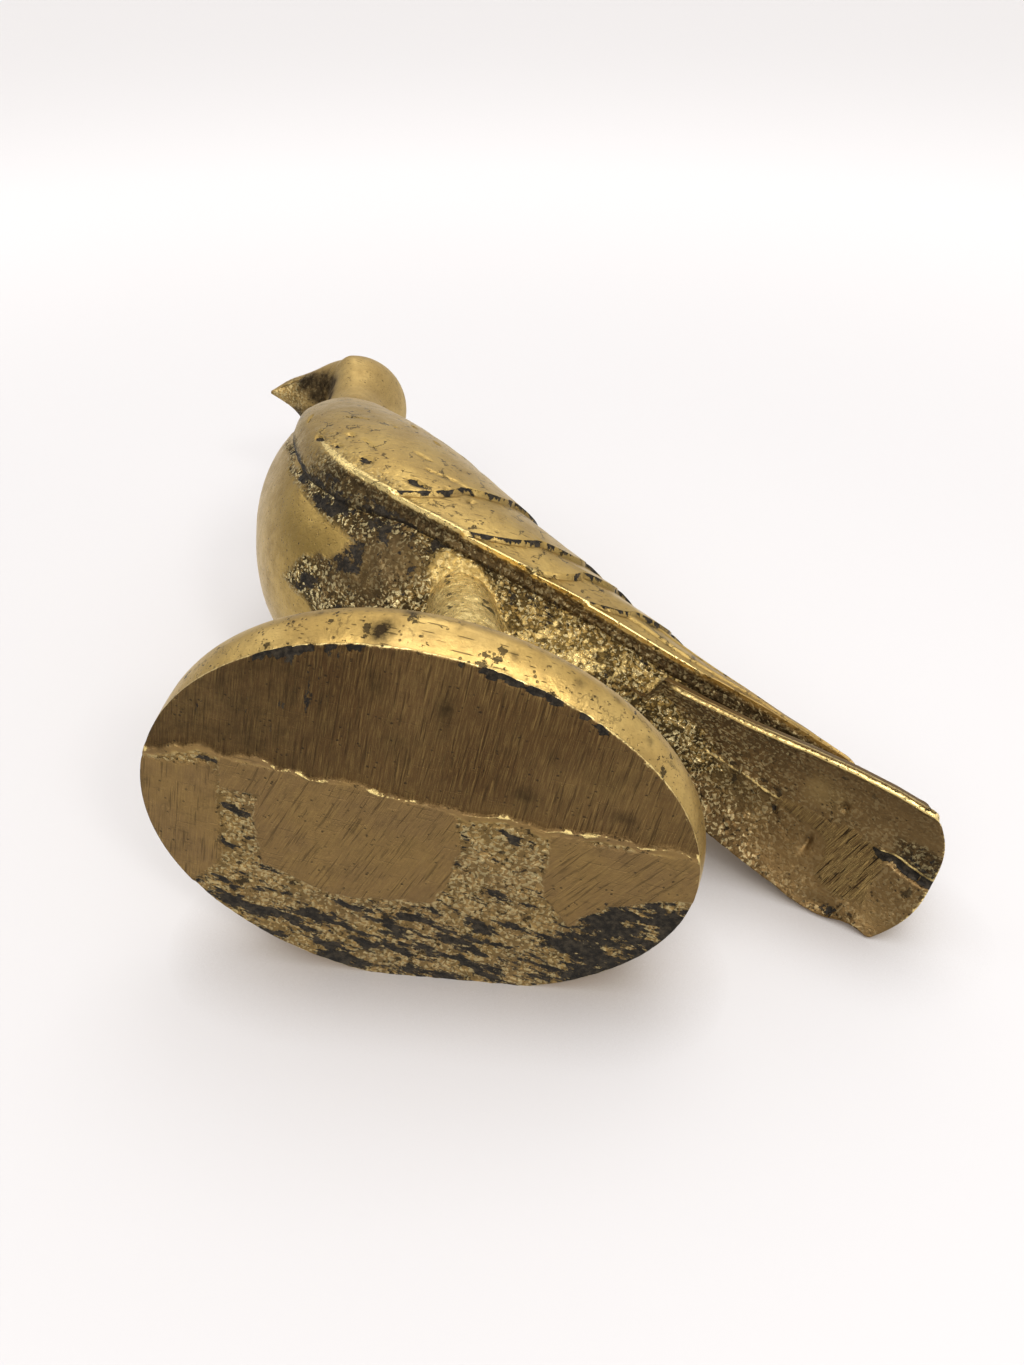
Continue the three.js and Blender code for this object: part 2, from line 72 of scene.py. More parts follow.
# Spots on the wall: x, height over the underside, radius and strength.
WALL_SPOTS = [(9.4, 1.8, 1.4, 1.5), (6.7, 4.9, 1.0, 1.2), (17.0, 4.4, 0.5, 0.7), (-6.0, 2.2, 0.5, 0.7),
              (1.0, 3.4, 0.4, 0.6), (-14.0, 2.8, 0.6, 0.7), (-19.0, 4.0, 0.5, 0.7), (-24.0, 2.4, 0.6, 0.7),
              (-11.0, 5.0, 0.5, 0.5)]
# Chips along the rim: where each starts and stops in x, and its depth.
RIM_CHIPS = [(16.4, 23.4, 1.0), (11.2, 15.6, 0.8), (4.2, 6.4, 0.4), (-1.2, 0.4, 0.4), (-12.6, -2.6, 1.0),
             (-18.4, -14.6, 0.8)]
# What a casting's points carry for its brass: rough scale, soot, dull patina, bright wear together with
# painted highlights, file or saw strokes, brown stain, and the place along and across the strokes.
MARKS = ("cast", "soot", "dull", "wear_and_highlight", "filed", "stain", "stroke")


def ease(value, low, high):
    """Goes smoothly from 0 at low to 1 at high."""
    share = np.clip((value - low) / (high - low), 0, 1)
    return share * share * (3 - 2 * share)


def smooth_through(points, place):
    """Catmull-Rom curve: each span leaves and meets its ends along half the line between its neighbours."""
    points = np.asarray(points, float)
    last = len(points) - 1
    padded = np.vstack([2 * points[:1] - points[1:2], points, 2 * points[-1:] - points[-2:-1]])
    place = np.clip(place, 0, last)
    span = np.minimum(place.astype(int), last - 1)
    t = (place - span)[..., None]
    a, b, c, d = (padded[span + k] for k in range(4))
    return b + t * (c - a) / 2 + t**2 * (a - 2.5 * b + 2 * c - d / 2) + t**3 * ((d - a) / 2 + 1.5 * (b - c))


def lumps(points, size, seed):
    """Smooth lumps from -1 to 1: a hashed value at each corner of a cubic lattice, blended by eased weights."""
    cell = np.asarray(points, float) / size + seed * 19.7
    base = np.floor(cell).astype(np.int64)
    part = cell - base
    part = part * part * (3 - 2 * part)
    total = np.zeros(cell.shape[:-1])
    for corner in np.ndindex(2, 2, 2):
        key = (base + np.array(corner)) @ np.array([73856093, 19349663, 83492791])
        key = ((key ^ (key >> 13)) * 1274126177) & 0xFFFFFFFF
        value = ((key ^ (key >> 15)) & 0xFFFF) / 32767.5 - 1
        total += value * np.prod(np.where(corner, part, 1 - part), axis=-1)
    return total


def patch(x, y, corners, soft):
    """How far each point lies in a many-sided patch: a half on its outline, 1 or 0 at soft in or out of it."""
    nearest = np.full(x.shape, np.inf)
    inside = np.zeros(x.shape, bool)
    for (ax, ay), (bx, by) in zip(corners, corners[1:] + corners[:1]):
        run_x, run_y = bx - ax, by - ay
        share = np.clip(((x - ax) * run_x + (y - ay) * run_y) / (run_x**2 + run_y**2), 0, 1)
        nearest = np.minimum(nearest, np.hypot(x - ax - share * run_x, y - ay - share * run_y))
        inside ^= ((ay > y) != (by > y)) & (x < ax + (y - ay) * run_x / (run_y or 1e-9))
    return ease(np.where(inside, nearest, -nearest), -soft, soft)


def turn_axes(x, y, angle):
    """The two coordinates of the plane after its axes have turned by an angle in radians."""
    return x * np.cos(angle) + y * np.sin(angle), y * np.cos(angle) - x * np.sin(angle)


def ovals(x, y, places):
    """Soft ovals at places given as x, y, half length, half width and strength, the strongest one winning."""
    return np.max([strength * np.exp(-(((x - spot_x) / long) ** 2 + ((y - spot_y) / wide) ** 2))
                   for spot_x, spot_y, long, wide, strength in places], axis=0)


def outward(loops):
    """Unit normals of a surface of closed loops: the cross product of its two directions, turned to face out."""
    around = np.roll(loops, -1, axis=1) - np.roll(loops, 1, axis=1)
    along = np.gradient(loops, axis=0)
    normal = np.cross(around, along)
    normal /= np.maximum(np.linalg.norm(normal, axis=-1, keepdims=True), 1e-9)
    middle = loops.mean(axis=1, keepdims=True)
    return normal * np.sign(np.median(np.sum(normal * (loops - middle), axis=-1)))


def casting(name, loops, marks, material):
    """A closed mesh through loops of points in millimetres. Each end is shut by a fan on its middle point."""
    rows, sides = loops.shape[:2]
    points = np.concatenate([loops.reshape(-1, 3), loops[0].mean(0, keepdims=True),
                             loops[-1].mean(0, keepdims=True)])
    here = np.arange(rows * sides).reshape(rows, sides)
    beside = np.roll(here, -1, axis=1)
    quads = np.stack([here[:-1], beside[:-1], beside[1:], here[1:]], axis=-1).reshape(-1, 4)
    pole = rows * sides
    fans = np.concatenate([
        np.stack([beside[0], here[0], np.full(sides, pole)], axis=-1),
        np.stack([here[-1], beside[-1], np.full(sides, pole + 1)], axis=-1),
    ])
    # The sum of the signed volumes under the quads tells which way the faces point.
    corners = points[quads]
    volume = np.sum(np.cross(corners[:, 0], corners[:, 1]) * corners[:, 2])
    volume += np.sum(np.cross(corners[:, 0], corners[:, 2]) * corners[:, 3])
    if volume < 0:
        quads, fans = quads[:, ::-1], fans[:, ::-1]
    mesh = bpy.data.meshes.new(name)
    mesh.vertices.add(len(points))
    mesh.vertices.foreach_set("co", (points * 0.001).astype(np.float32).ravel())
    mesh.loops.add(quads.size + fans.size)
    mesh.loops.foreach_set("vertex_index", np.concatenate([quads.ravel(), fans.ravel()]).astype(np.int32))
    mesh.polygons.add(len(quads) + len(fans))
    starts = np.concatenate([np.arange(len(quads)) * 4, quads.size + np.arange(len(fans)) * 3])
    mesh.polygons.foreach_set("loop_start", starts.astype(np.int32))
    mesh.update(calc_edges=True)
    mesh.shade_smooth()
    ends = np.zeros(len(points), bool)
    ends[here[0]] = ends[here[-1]] = True
    pairs = np.empty(len(mesh.edges) * 2, np.int32)
    mesh.edges.foreach_get("vertices", pairs)
    pairs = pairs.reshape(-1, 2)
    rim = ends[pairs[:, 0]] & ends[pairs[:, 1]]
    mesh.edges.foreach_set("use_edge_sharp", rim & (points[here[0]].std(0).max() > 0.5))
    for mark in MARKS:
        shape = (rows, sides, 3) if mark == "stroke" else (rows, sides)
        values = np.broadcast_to(marks.get(mark, 0.0), shape).astype(np.float32)
        values = np.concatenate([values.reshape(pole, -1), values[0].mean(0).reshape(1, -1),
                                 values[-1].mean(0).reshape(1, -1)])
        kind, field = ("FLOAT_VECTOR", "vector") if mark == "stroke" else ("FLOAT", "value")
        mesh.attributes.new(mark, kind, "POINT").data.foreach_set(field, values.ravel())
    mesh.materials.append(material)
    piece = bpy.data.objects.new(name + "_casting", mesh)
    bpy.context.scene.collection.objects.link(piece)
    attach(piece, "root")
    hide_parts(name)
    return piece


def node(tree, kind, inputs=(), **settings):
    """One shader node with its settings, and each input given as a value or as the output that feeds it."""
    made = tree.nodes.new(kind)
    for key, value in settings.items():
        setattr(made, key, value)
    for socket, value in dict(inputs).items():
        if isinstance(value, bpy.types.NodeSocket):
            tree.links.new(value, made.inputs[socket])
        else:
            made.inputs[socket].default_value = value
    return made


def maths(tree, operation, a, b=0.0, clamp=False):
    """One step of arithmetic on two values, kept within 0 and 1 if clamp is set."""
    return node(tree, "ShaderNodeMath", {0: a, 1: b}, operation=operation, use_clamp=clamp).outputs[0]


def between(tree, value, low, high):
    """The value's smooth way from low to high, as 0 to 1."""
    made = node(tree, "ShaderNodeMapRange", {"Value": value, "From Min": low, "From Max": high})
    made.interpolation_type = "SMOOTHSTEP"
    return made.outputs["Result"]


def blend(tree, factor, a, b, kind="RGBA"):
    """Mixes two colours or two numbers by a factor."""
    first = {"RGBA": 6, "FLOAT": 2}[kind]
    made = node(tree, "ShaderNodeMix", data_type=kind)
    for socket, value in ((0, factor), (first, a), (first + 1, b)):
        if isinstance(value, bpy.types.NodeSocket):
            tree.links.new(value, made.inputs[socket])
        else:
            made.inputs[socket].default_value = value
    return made.outputs[{"RGBA": 2, "FLOAT": 0}[kind]]


# Colours that all the brass shares: rubbed wear and painted highlights, the scale's painted glints and crevices,
# the furrows of the strokes, pits and scratches, brown stain, and the two tones of the black patina.
RUBBED_AND_HIGHLIGHT = (0.92, 0.70, 0.29, 1)
# A lighter, whiter brass painted on scattered facets of the scale as glints: a painted highlight.
PAINTED_GLINT = (0.82, 0.68, 0.36, 1)
CREVICE = (0.026, 0.020, 0.012, 1)
FURROW = (0.045, 0.028, 0.014, 1)
MOTTLE = (0.10, 0.069, 0.034, 1)
PIT = (0.035, 0.026, 0.016, 1)
STAIN = (0.040, 0.027, 0.014, 1)
BLACK, BLACK_DUST = (0.012, 0.009, 0.006, 1), (0.046, 0.035, 0.022, 1)


def cast_brass(name, bright, deep, dull, sawn, pits, shine, flake_mm, drawn, cracked=0.0):
    """Brass marked polished, dull, sawn, rough, pitted, stained, sooty, rubbed or with painted highlights.

    The colours bright, deep, dull and sawn run from clean polish to brown patina. Pits and cracked say how
    many of these show, shine is the polish's roughness, and flake_mm and drawn are the size of the black
    flakes and how far they are drawn out across the strokes.
    """
    material = bpy.data.materials.new(name)
    material.use_nodes = True
    tree = material.node_tree
    shader = tree.nodes["Principled BSDF"]
    shader.inputs["Specular IOR Level"].default_value = 0.25
    place = node(tree, "ShaderNodeTexCoord").outputs["Object"]
    mark = {}
    for key in MARKS:
        attribute = node(tree, "ShaderNodeAttribute", attribute_name=key)
        mark[key] = attribute.outputs["Vector" if key == "stroke" else "Fac"]

    def noise(scale, detail, roughness, vector=place):
        """Fractal noise with scale lumps to one unit of the vector."""
        return node(tree, "ShaderNodeTexNoise", {
            "Vector": vector, "Scale": scale, "Detail": detail, "Roughness": roughness})

    def cloud(size_mm, detail, roughness=0.55, vector=place, unit_mm=1000.0):
        """Noise whose largest lumps are size_mm across, where one unit of the vector is unit_mm."""
        return noise(unit_mm / size_mm, detail, roughness, vector).outputs["Fac"]

    def voronoi(vector, scale=1.0, feature="F1"):
        """The cells of scattered points, with scale cells to one unit of the vector."""
        return node(tree, "ShaderNodeTexVoronoi", {"Vector": vector, "Scale": scale}, feature=feature)

    def times(*values):
        """The product of all values."""
        product = values[0]
        for value in values[1:]:
            product = maths(tree, "MULTIPLY", product, value)
        return product

    def plus(*values):
        """The sum of all values."""
        total = values[0]
        for value in values[1:]:
            total = maths(tree, "ADD", total, value)
        return total

    def less(a, b, clamp=False):
        """The first value less the second."""
        return maths(tree, "SUBTRACT", a, b, clamp)

    def vector_maths(operation, *values, output=0):
        """One step of arithmetic on vectors."""
        made = node(tree, "ShaderNodeVectorMath", dict(enumerate(values)), operation=operation)
        return made.outputs[output]

    def scratches(turned, length_mm, slim, low, high):
        """Long thin dashes: the distance to scattered points in a space squeezed along one turned direction."""
        along, across = 1000 / length_mm, 1000 * slim / length_mm
        squeezed = node(tree, "ShaderNodeMapping", {
            "Vector": place, "Rotation": turned, "Scale": (along, across, across)}).outputs[0]
        return between(tree, voronoi(squeezed).outputs["Distance"], high, low)

    def bent_cells(size_mm, waves, detail, roughness, pull):
        """Places counted in cells of size_mm, moved by pull times a noise with waves lumps to a cell."""
        warp = noise(1000 * waves / size_mm, detail, roughness).outputs["Color"]
        spread = node(tree, "ShaderNodeVectorMath", {0: place, "Scale": 1000 / size_mm}, operation="SCALE")
        return vector_maths("MULTIPLY_ADD", warp, (pull, pull, pull), spread.outputs[0])

    def crumpled(size_mm):
        """Crumpled scale: each cell of a warped Voronoi pattern is a facet that leans its own random way."""
        bent = bent_cells(size_mm, 0.7, 3.0, 0.6, 1.3)
        cells = voronoi(bent)
        off = vector_maths("SUBTRACT", bent, cells.outputs["Position"])
        lean = vector_maths("SUBTRACT", cells.outputs["Color"], (0.5, 0.5, 0.5))
        return vector_maths("DOT_PRODUCT", off, lean, output="Value"), cells.outputs["Distance"]

    def cracks(size_mm):
        """Hairline cracks: the borders of a warped Voronoi pattern, kept where a cloud is thick."""
        borders = voronoi(bent_cells(size_mm, 2.5, 4.0, 0.7, 0.7), feature="DISTANCE_TO_EDGE")
        thin = between(tree, borders.outputs["Distance"], 0.04, 0.012)
        return times(thin, between(tree, cloud(3.2, 2), 0.5, 0.58))

    broad = between(tree, cloud(9, 3), 0.35, 0.65)
    mottle = between(tree, cloud(2.6, 5, 0.65), 0.38, 0.68)
    fine = cloud(0.9, 5, 0.65)
    grain = cloud(0.75, 5, 0.62)
    lump = cloud(2.1, 3, 0.6)
    flow = node(tree, "ShaderNodeMapping", {"Vector": mark["stroke"], "Scale": (1.0, 0.05, 1.0)}).outputs[0]
    streak = cloud(0.2, 4, 0.75, flow, 1.0)
    spark = between(tree, cloud(0.34, 2, 0.6, flow, 1.0), 0.6, 0.72)
    furrow = between(tree, cloud(0.36, 2, 0.6, flow, 1.0), 0.56, 0.66)
    flake = node(tree, "ShaderNodeMapping", {"Vector": mark["stroke"], "Scale": (1.0, drawn, 1.0)}).outputs[0]
    flakes = cloud(flake_mm, 7, 0.7, flake, 1.0)
    scratch = maths(tree, "MAXIMUM", scratches((0.3, 0.9, 0.4), 12.0, 20.0, 0.1, 0.17),
                    scratches((1.1, 0.2, 2.0), 9.0, 18.0, 0.1, 0.16))
    hairline = scratches((0.5, 1.4, 1.1), 6.0, 16.0, 0.2, 0.34)

    sooty = plus(mark["soot"], times(less(flakes, 0.5), 2.6), times(less(grain, 0.5), 0.55))
    black = times(between(tree, sooty, 0.5, 0.6), between(tree, mark["soot"], 0.02, 0.12))
    high = plus(times(grain, 0.7), times(lump, 0.3))
    facet, from_middle = crumpled(0.68)
    clump = between(tree, cloud(3.4, 4, 0.7), 0.4, 0.62)
    crevice = plus(from_middle, times(less(0.5, grain), 1.1), times(less(0.4, clump), 0.4))
    crevice = between(tree, crevice, 0.38, 0.56)
    bare = times(less(1.0, mark["cast"]), 0.09)
    grit = maths(tree, "MAXIMUM", between(tree, plus(high, bare), 0.49, 0.43),
                 times(crevice, mark["cast"], 0.9))
    grit = times(between(tree, mark["cast"], 0.02, 0.2), grit)
    # Facets of the scale that take the painted glint colour and a smoother polish.
    painted_glint = times(mark["cast"], between(tree, plus(facet, times(clump, 0.08)), 0.06, 0.17))
    shake = noise(2200.0, 3.0, 0.7).outputs["Color"]
    ragged_place = vector_maths("MULTIPLY_ADD", shake, (0.0016, 0.0016, 0.0016), place)
    spots = voronoi(ragged_place, 1000.0 / 1.5)
    size = times(between(tree, cloud(4, 3), 0.64 - 0.2 * pits, 0.86 - 0.2 * pits), 0.5)
    pit = between(tree, less(size, plus(spots.outputs["Distance"], times(fine, 0.4))), -0.24, -0.17)
    pit = times(pit, between(tree, mark["dull"], 0.66, 0.5))
    motes = voronoi(place, 1000.0 / 0.8)
    mote = times(between(tree, plus(motes.outputs["Distance"], times(fine, 0.3)), 0.42, 0.3),
                 between(tree, cloud(2.2, 3), 0.5, 0.62))
    clean = less(1.0, mark["dull"], clamp=True)

    ramp = node(tree, "ShaderNodeValToRGB", {"Fac": mark["dull"]})
    ramp.color_ramp.elements[0].color = (*bright, 1)
    ramp.color_ramp.elements[1].color = (*sawn, 1)
    ramp.color_ramp.elements.new(0.5).color = (*dull, 1)
    polished = blend(tree, times(broad, clean, 0.6), ramp.outputs["Color"], (*deep, 1))
    polished = blend(tree, times(mottle, 0.35), polished, blend(tree, 0.55, polished, MOTTLE))
    lifted = blend(tree, 0.3, polished, (*bright, 1))
    brushed = blend(tree, times(mark["filed"], between(tree, streak, 0.44, 0.66), 0.7), polished, lifted)
    brushed = blend(tree, times(mark["filed"], furrow, 0.55), brushed, FURROW)
    spark_tone = (bright[0] * 0.75, bright[1] * 0.7, bright[2] * 0.7, 1)
    brushed = blend(tree, times(mark["filed"], spark, 0.4), brushed, spark_tone)
    gritty = blend(tree, times(grit, 0.88), brushed, CREVICE)
    gritty = blend(tree, times(painted_glint, 0.85), gritty, PAINTED_GLINT)
    # Rubbed wear and painted highlights share one mark and take the rubbed colour.
    rub_and_highlight = between(tree, plus(mark["wear_and_highlight"], times(less(fine, 0.5), 0.9)), 0.4, 0.6)
    rubbed_and_highlight = blend(tree, rub_and_highlight, gritty, RUBBED_AND_HIGHLIGHT)
    marred = plus(times(pit, 0.85), times(mote, 0.7), times(scratch, clean, 0.6),
                  times(hairline, clean, 0.12))
    if cracked:
        marred = plus(marred, times(cracks(5.0), clean, cracked))
    pitted = blend(tree, maths(tree, "MINIMUM", marred, 0.9), rubbed_and_highlight, PIT)
    stain = maths(tree, "MULTIPLY", mark["stain"], plus(times(mottle, 0.3), times(fine, 1.4)), clamp=True)
    pitted = blend(tree, stain, pitted, STAIN)
    patina = blend(tree, between(tree, fine, 0.4, 0.65), BLACK, BLACK_DUST)
    tree.links.new(blend(tree, black, pitted, patina), shader.inputs["Base Color"])
    tree.links.new(less(1.0, times(black, 0.7)), shader.inputs["Metallic"])
    gloss = plus(shine, times(mark["dull"], 0.14), times(rub_and_highlight, -0.1), times(fine, 0.12), times(mottle, 0.08),
                 times(grit, 0.2), times(painted_glint, -0.22), times(stain, 0.12))
    tree.links.new(blend(tree, black, gloss, 0.55, "FLOAT"), shader.inputs["Roughness"])

    height = plus(times(mark["cast"], high, 0.8), times(mark["cast"], facet, 0.7),
                  times(mark["cast"], crevice, -0.12))
    height = plus(height, times(mark["filed"], streak, 0.14), times(mark["filed"], furrow, -0.05))
    height = plus(height, times(fine, 0.1), times(lump, 0.06), times(pit, -0.12), times(mote, -0.08),
                  times(scratch, -0.1), times(black, -0.08), times(rub_and_highlight, 0.05))
    bump = node(tree, "ShaderNodeBump", {"Strength": 1.0, "Distance": 0.001, "Height": height})
    tree.links.new(bump.outputs["Normal"], shader.inputs["Normal"])
    return material


turn = np.linspace(0, 2 * np.pi, 500, endpoint=False)
up_wall = smooth_through(WALL, np.concatenate([np.linspace(0, 7, 44), np.linspace(7.15, 8, 8)]))
inner = np.linspace(0.009, 1, 122, endpoint=False)
lid = np.linspace(1, 0.02, 12)[1:]
row_share = np.concatenate([inner, np.ones(len(up_wall)), lid])[:, None]


def by_row(wall_values, top_value):
    """A value for each loop of points: 0 over the underside, then up the wall, then one for all the top."""
    return np.concatenate([np.zeros(len(inner)), wall_values, np.full(len(lid), top_value)])[:, None]


row_height = by_row(up_wall[:, 0], PLINTH_HEIGHT)
row_swell = by_row(up_wall[:, 1], 0.0)
row_inset = by_row(up_wall[:, 2], WALL[-1][2])
front = np.cos(turn) > 0
flank = abs(np.sin(turn)) ** np.where(front, 2.2, 1.5)
tail_end_bulge = TAIL_END_BULGE + (SIDE_BULGE - TAIL_END_BULGE) * flank
offset = row_swell * np.where(front, SIDE_BULGE * flank, tail_end_bulge) - row_inset
x = row_share * (PLINTH_LENGTH / 2 + offset) * np.cos(turn)
y = row_share * (PLINTH_WIDTH / 2 + offset) * np.sin(turn) * (1 + PLINTH_EGG * np.cos(turn))
flat = np.stack([x, y, 0 * x], axis=-1)
wobble = 0.5 * lumps(flat, 1.7, 3) + 0.25 * lumps(flat, 0.7, 4)
ragged = wobble + 0.9 * lumps(flat, 5.0, 5)
torn = y - np.interp(x, TORN_STEP_X, TORN_STEP_Y) - 0.7 * wobble
sawn_half = ease(torn, 0, 0.14)
ground = [patch(x + 0.5 * ragged, y + 0.5 * ragged, corners, 0.25) * (1 - sawn_half)
          for corners in (GROUND_FRONT, GROUND_MIDDLE, GROUND_REAR)]
ground_all = np.max(ground, axis=0)
raw = (1 - sawn_half) * (1 - ground_all) * ease(-torn, 0.8, 1.6)
soot_band = patch(x + 0.8 * ragged, y + 0.8 * ragged, SOOT_BAND, 1.6)
chip_x = x + 0.4 * ragged
chips = np.max([depth * ease(chip_x, low - 0.8, low + 0.8) * ease(-chip_x, -high - 0.8, -high + 0.8)
                for low, high, depth in RIM_CHIPS], axis=0)
teeth = 0.5 + 0.5 * lumps(np.stack([x, 0.1 * y, 0 * x], axis=-1), 0.55, 9)
toothed = ease(x, 10, 11.5) * ease(-x, -17, -15)
reach_in = 0.974 - 0.014 * lumps(flat, 1.1, 12) - 0.014 * lumps(flat, 0.5, 17)
reach_in = reach_in - 0.03 * toothed * (2 * teeth - 1)
chips = chips * ease(row_share, reach_in - 0.005, reach_in + 0.005) * (y > 0)
chips = chips * ease(lumps(flat, 0.9, 14), -0.75, -0.4)
shard = ease(lumps(flat, 1.6, 10) + 0.5 * lumps(flat, 0.6, 11), -0.1, 0.5)
flaky = ease(lumps(flat, 2.6, 13) + 0.4 * lumps(flat, 0.8, 15), -0.5, 0.1)
burr = np.clip(1.2 - abs(torn + 0.1) / (0.14 + 0.5 * shard * flaky), 0, 1)
sink = SAW_STEP * sawn_half + raw * (0.22 + 0.1 * lumps(flat, 1.1, 6)) + 0.6 * chips * teeth
sink = sink - 0.05 * burr * ground_all + 0.02 * lumps(flat, 3.0, 7)
sink = np.clip(sink, 0, None)
rim_sink = sink[len(inner)][None, :]
rim_step = SAW_STEP * sawn_half[len(inner)][None, :]
above_rim = row_height + rim_step * np.clip(1 - row_height / BULGE_HEIGHT, 0, 1)
above_rim = above_rim + (rim_sink - rim_step) * np.exp(-row_height / 0.35)
z = np.where(row_height < 1e-6, sink, above_rim)
z[len(inner)] = rim_sink
plinth_loops = np.stack([x, y, z], axis=-1)
on_wall = ease(row_height, 0.02, 0.25) + 0 * x
heading = np.where(ground[1] > 0.5, np.radians(19), np.where(ground[2] > 0.5, np.radians(31), 0.0))
heading = np.where((torn < 0) & (ground_all <= 0.5), np.radians(97), heading)
soot = soot_band * (0.53 + 0.2 * ease(-x, 19, 27)) + 0.36 * raw * (1 - soot_band)
soot = np.maximum(soot, ovals(x + 0.4 * ragged, y + 0.4 * ragged, BLACK_SPOTS))
brown = ovals(x + 0.5 * ragged, y + 0.5 * ragged, BROWN_OVALS)
spotted = 0 * x
for spot_x, spot_z, radius, strength in WALL_SPOTS:
    near = (x + 0.3 * wobble - spot_x) ** 2 + (row_height - spot_z) ** 2
    spotted = np.maximum(spotted, strength * np.exp(-near / radius**2) * (y > 0))
soot = np.maximum(soot, 1.3 * chips)
soot = np.maximum(soot, 0.52 * toothed * ease(row_share, 0.9, 0.975) * (y > 0)) * (1 - on_wall)
stain = ease(x + 0.6 * ragged, 13, 17) * ease(y, 9, 15)
soot = np.maximum(soot, 0.3 * stain * sawn_half * (1 - on_wall))
dull = (0.9 + 0.1 * lumps(flat, 9.0, 8)) * sawn_half
beside_step = (1 - sawn_half) * (1 - ease(-torn, 0.6, 1.4)) * (0.85 + 0.15 * shard)
dull = dull + (1 - sawn_half) * (0.62 * np.maximum(ground_all, beside_step) + 0.4 * raw + 0.02)
# Dull colour along the torn step, mostly on its sawn side: painted shade that dims the riser's reflection and
# stands for the step's shadow.
dull = np.maximum(dull, 0.8 * np.exp(-((torn - 0.1) / 0.3) ** 2))
rim_wear = np.exp(-((row_height - 0.15) / 0.2) ** 2) * (row_share > 0.99) * 0.6
plinth_marks = {
    "cast": (1 - on_wall) * (raw * 0.46 + 0.1 * burr),
    "soot": soot,
    "dull": dull * (1 - on_wall) + on_wall * 0.16 * ease(lumps(plinth_loops, 7.0, 16), 0, 0.8),
    "stain": (1 - on_wall) * np.maximum(brown, 0.42 * sawn_half * ease(x, 6, 24)) + on_wall * spotted,
    "wear_and_highlight": (1 - on_wall) * 0.62 * burr * (0.3 + 0.7 * flaky) + rim_wear,
    "filed": (1 - on_wall) * (sawn_half * 0.9 + ground_all * 0.8),
    "stroke": np.stack([*turn_axes(x, y, heading), 0 * x], axis=-1),
}
plinth_brass = cast_brass("plinth_brass", (0.58, 0.40, 0.14), (0.47, 0.30, 0.088), (0.315, 0.198, 0.084),
                          (0.102, 0.054, 0.022), 0.8, 0.34, 2.3, 0.32, 0.4)
casting("plinth", plinth_loops, plinth_marks, plinth_brass)

# Legs: two tapered stumps cast with the bird, half polished over fine pits. Each stands in the
# plinth below and runs up into the belly.
LEG_FOOT_X = -2.0
LEG_SPREAD = 11.2
LEG_FOOT_RADIUS = 7.6
LEG_TOP_RADIUS = 4.6
LEG_HEIGHT = 47.0
LEG_LEAN = 9.0
LEG_TOP_INSET = 1.2
leg_brass = cast_brass("leg_brass", (0.80, 0.58, 0.20), (0.58, 0.40, 0.13), (0.40, 0.27, 0.10),
                       (0.2, 0.13, 0.06), 0.9, 0.28, 2.0, 0.9)
turn = np.linspace(0, 2 * np.pi, 160, endpoint=False)
share = np.linspace(0, 1, 150)[:, None]
for side, name in ((1, "leg_left"), (-1, "leg_right")):
    radius = LEG_FOOT_RADIUS + (LEG_TOP_RADIUS - LEG_FOOT_RADIUS) * share**0.8
    radius = radius + 1.3 * np.exp(-share * LEG_HEIGHT / 1.4) + 0 * turn
    height = share * LEG_HEIGHT + 0 * turn
    loops = np.stack([LEG_FOOT_X + LEG_LEAN * share**1.6 + radius * np.cos(turn),
                      side * (LEG_SPREAD - LEG_TOP_INSET * share) + radius * np.sin(turn),
                      PLINTH_HEIGHT + height - 0.4], axis=-1)
    loops += outward(loops) * (0.16 * lumps(loops, 2.6, 11) + 0.08 * lumps(loops, 1.0, 12))[..., None]
    rough = ease(height + 3 * lumps(loops, 3.0, 13), 30, 38)
    casting(name, loops, {
        "cast": 0.2 + 0.6 * rough,
        "soot": 0.35 * rough,
        "dull": 0.4 * rough,
        "wear_and_highlight": 0.52 + 0 * rough,
        "stroke": np.stack([radius * turn, height, 0 * height], axis=-1),
    }, leg_brass)

# Body: the breast, belly, back and lower neck in one casting, lofted over stations along the
# spine. The breast and back are polished. The belly between the wings is left rough and dark.
# Each station has x, height over the plinth, half width, reach to the back and to the belly.
STATIONS = np.array([(-66, 9.8, 8.6, 2.4, 1), (-56, 15.2, 9.3, 3.2, 1), (-44, 21.8, 10.2, 4.8, 1.2),
                     (-31, 28.3, 11.5, 7.6, 4), (-14, 35.5, 15.5, 12.2, 11.3), (4, 44, 19.9, 17.2, 17.8),
                     (18, 54.5, 21.7, 20.2, 20.5), (27.5, 68.5, 20.4, 18.2, 17.5),
                     (32.5, 84.5, 16, 14.2, 13.1), (35, 98.5, 11.8, 9.8, 8.6),
                     (37.5, 109.5, 10.6, 7.6, 6.6), (40.94, 119.95, 13.3, 13.84, 5.4),
                     (44.75, 123.35, 10.56, 11.32, 5.72), (49.5, 123.8, 7.14, 6.4, 4.4),
                     (54, 123.55, 3.76, 4.72, 2.48), (59, 121, 0.4, 0.4, 0.4)])
SECTION_POWER = 2.1
# About how many millimetres one station is along the spine, and one degree around the belly.
STATION_MM = 17.5
BELLY_DEGREE_MM = 0.36
RUMP_STATION = 2.0
NECK_STATION = 9.5
BEAK_STATION = 15
# Outline of the rough belly: station, and degrees up from the widest line.
ROUGH_BELLY = [(7.75, -50), (7.0, -45), (6.2, -43), (5.8, -37), (5.2, -26), (4.5, -20), (3.5, -14),
               (0, -10), (0, -100), (5.0, -100), (5.3, -86), (5.66, -87), (6.0, -84), (5.92, -76),
               (5.76, -67), (5.6, -57), (5.58, -50), (5.95, -47.5), (6.6, -49), (7.2, -49.5)]
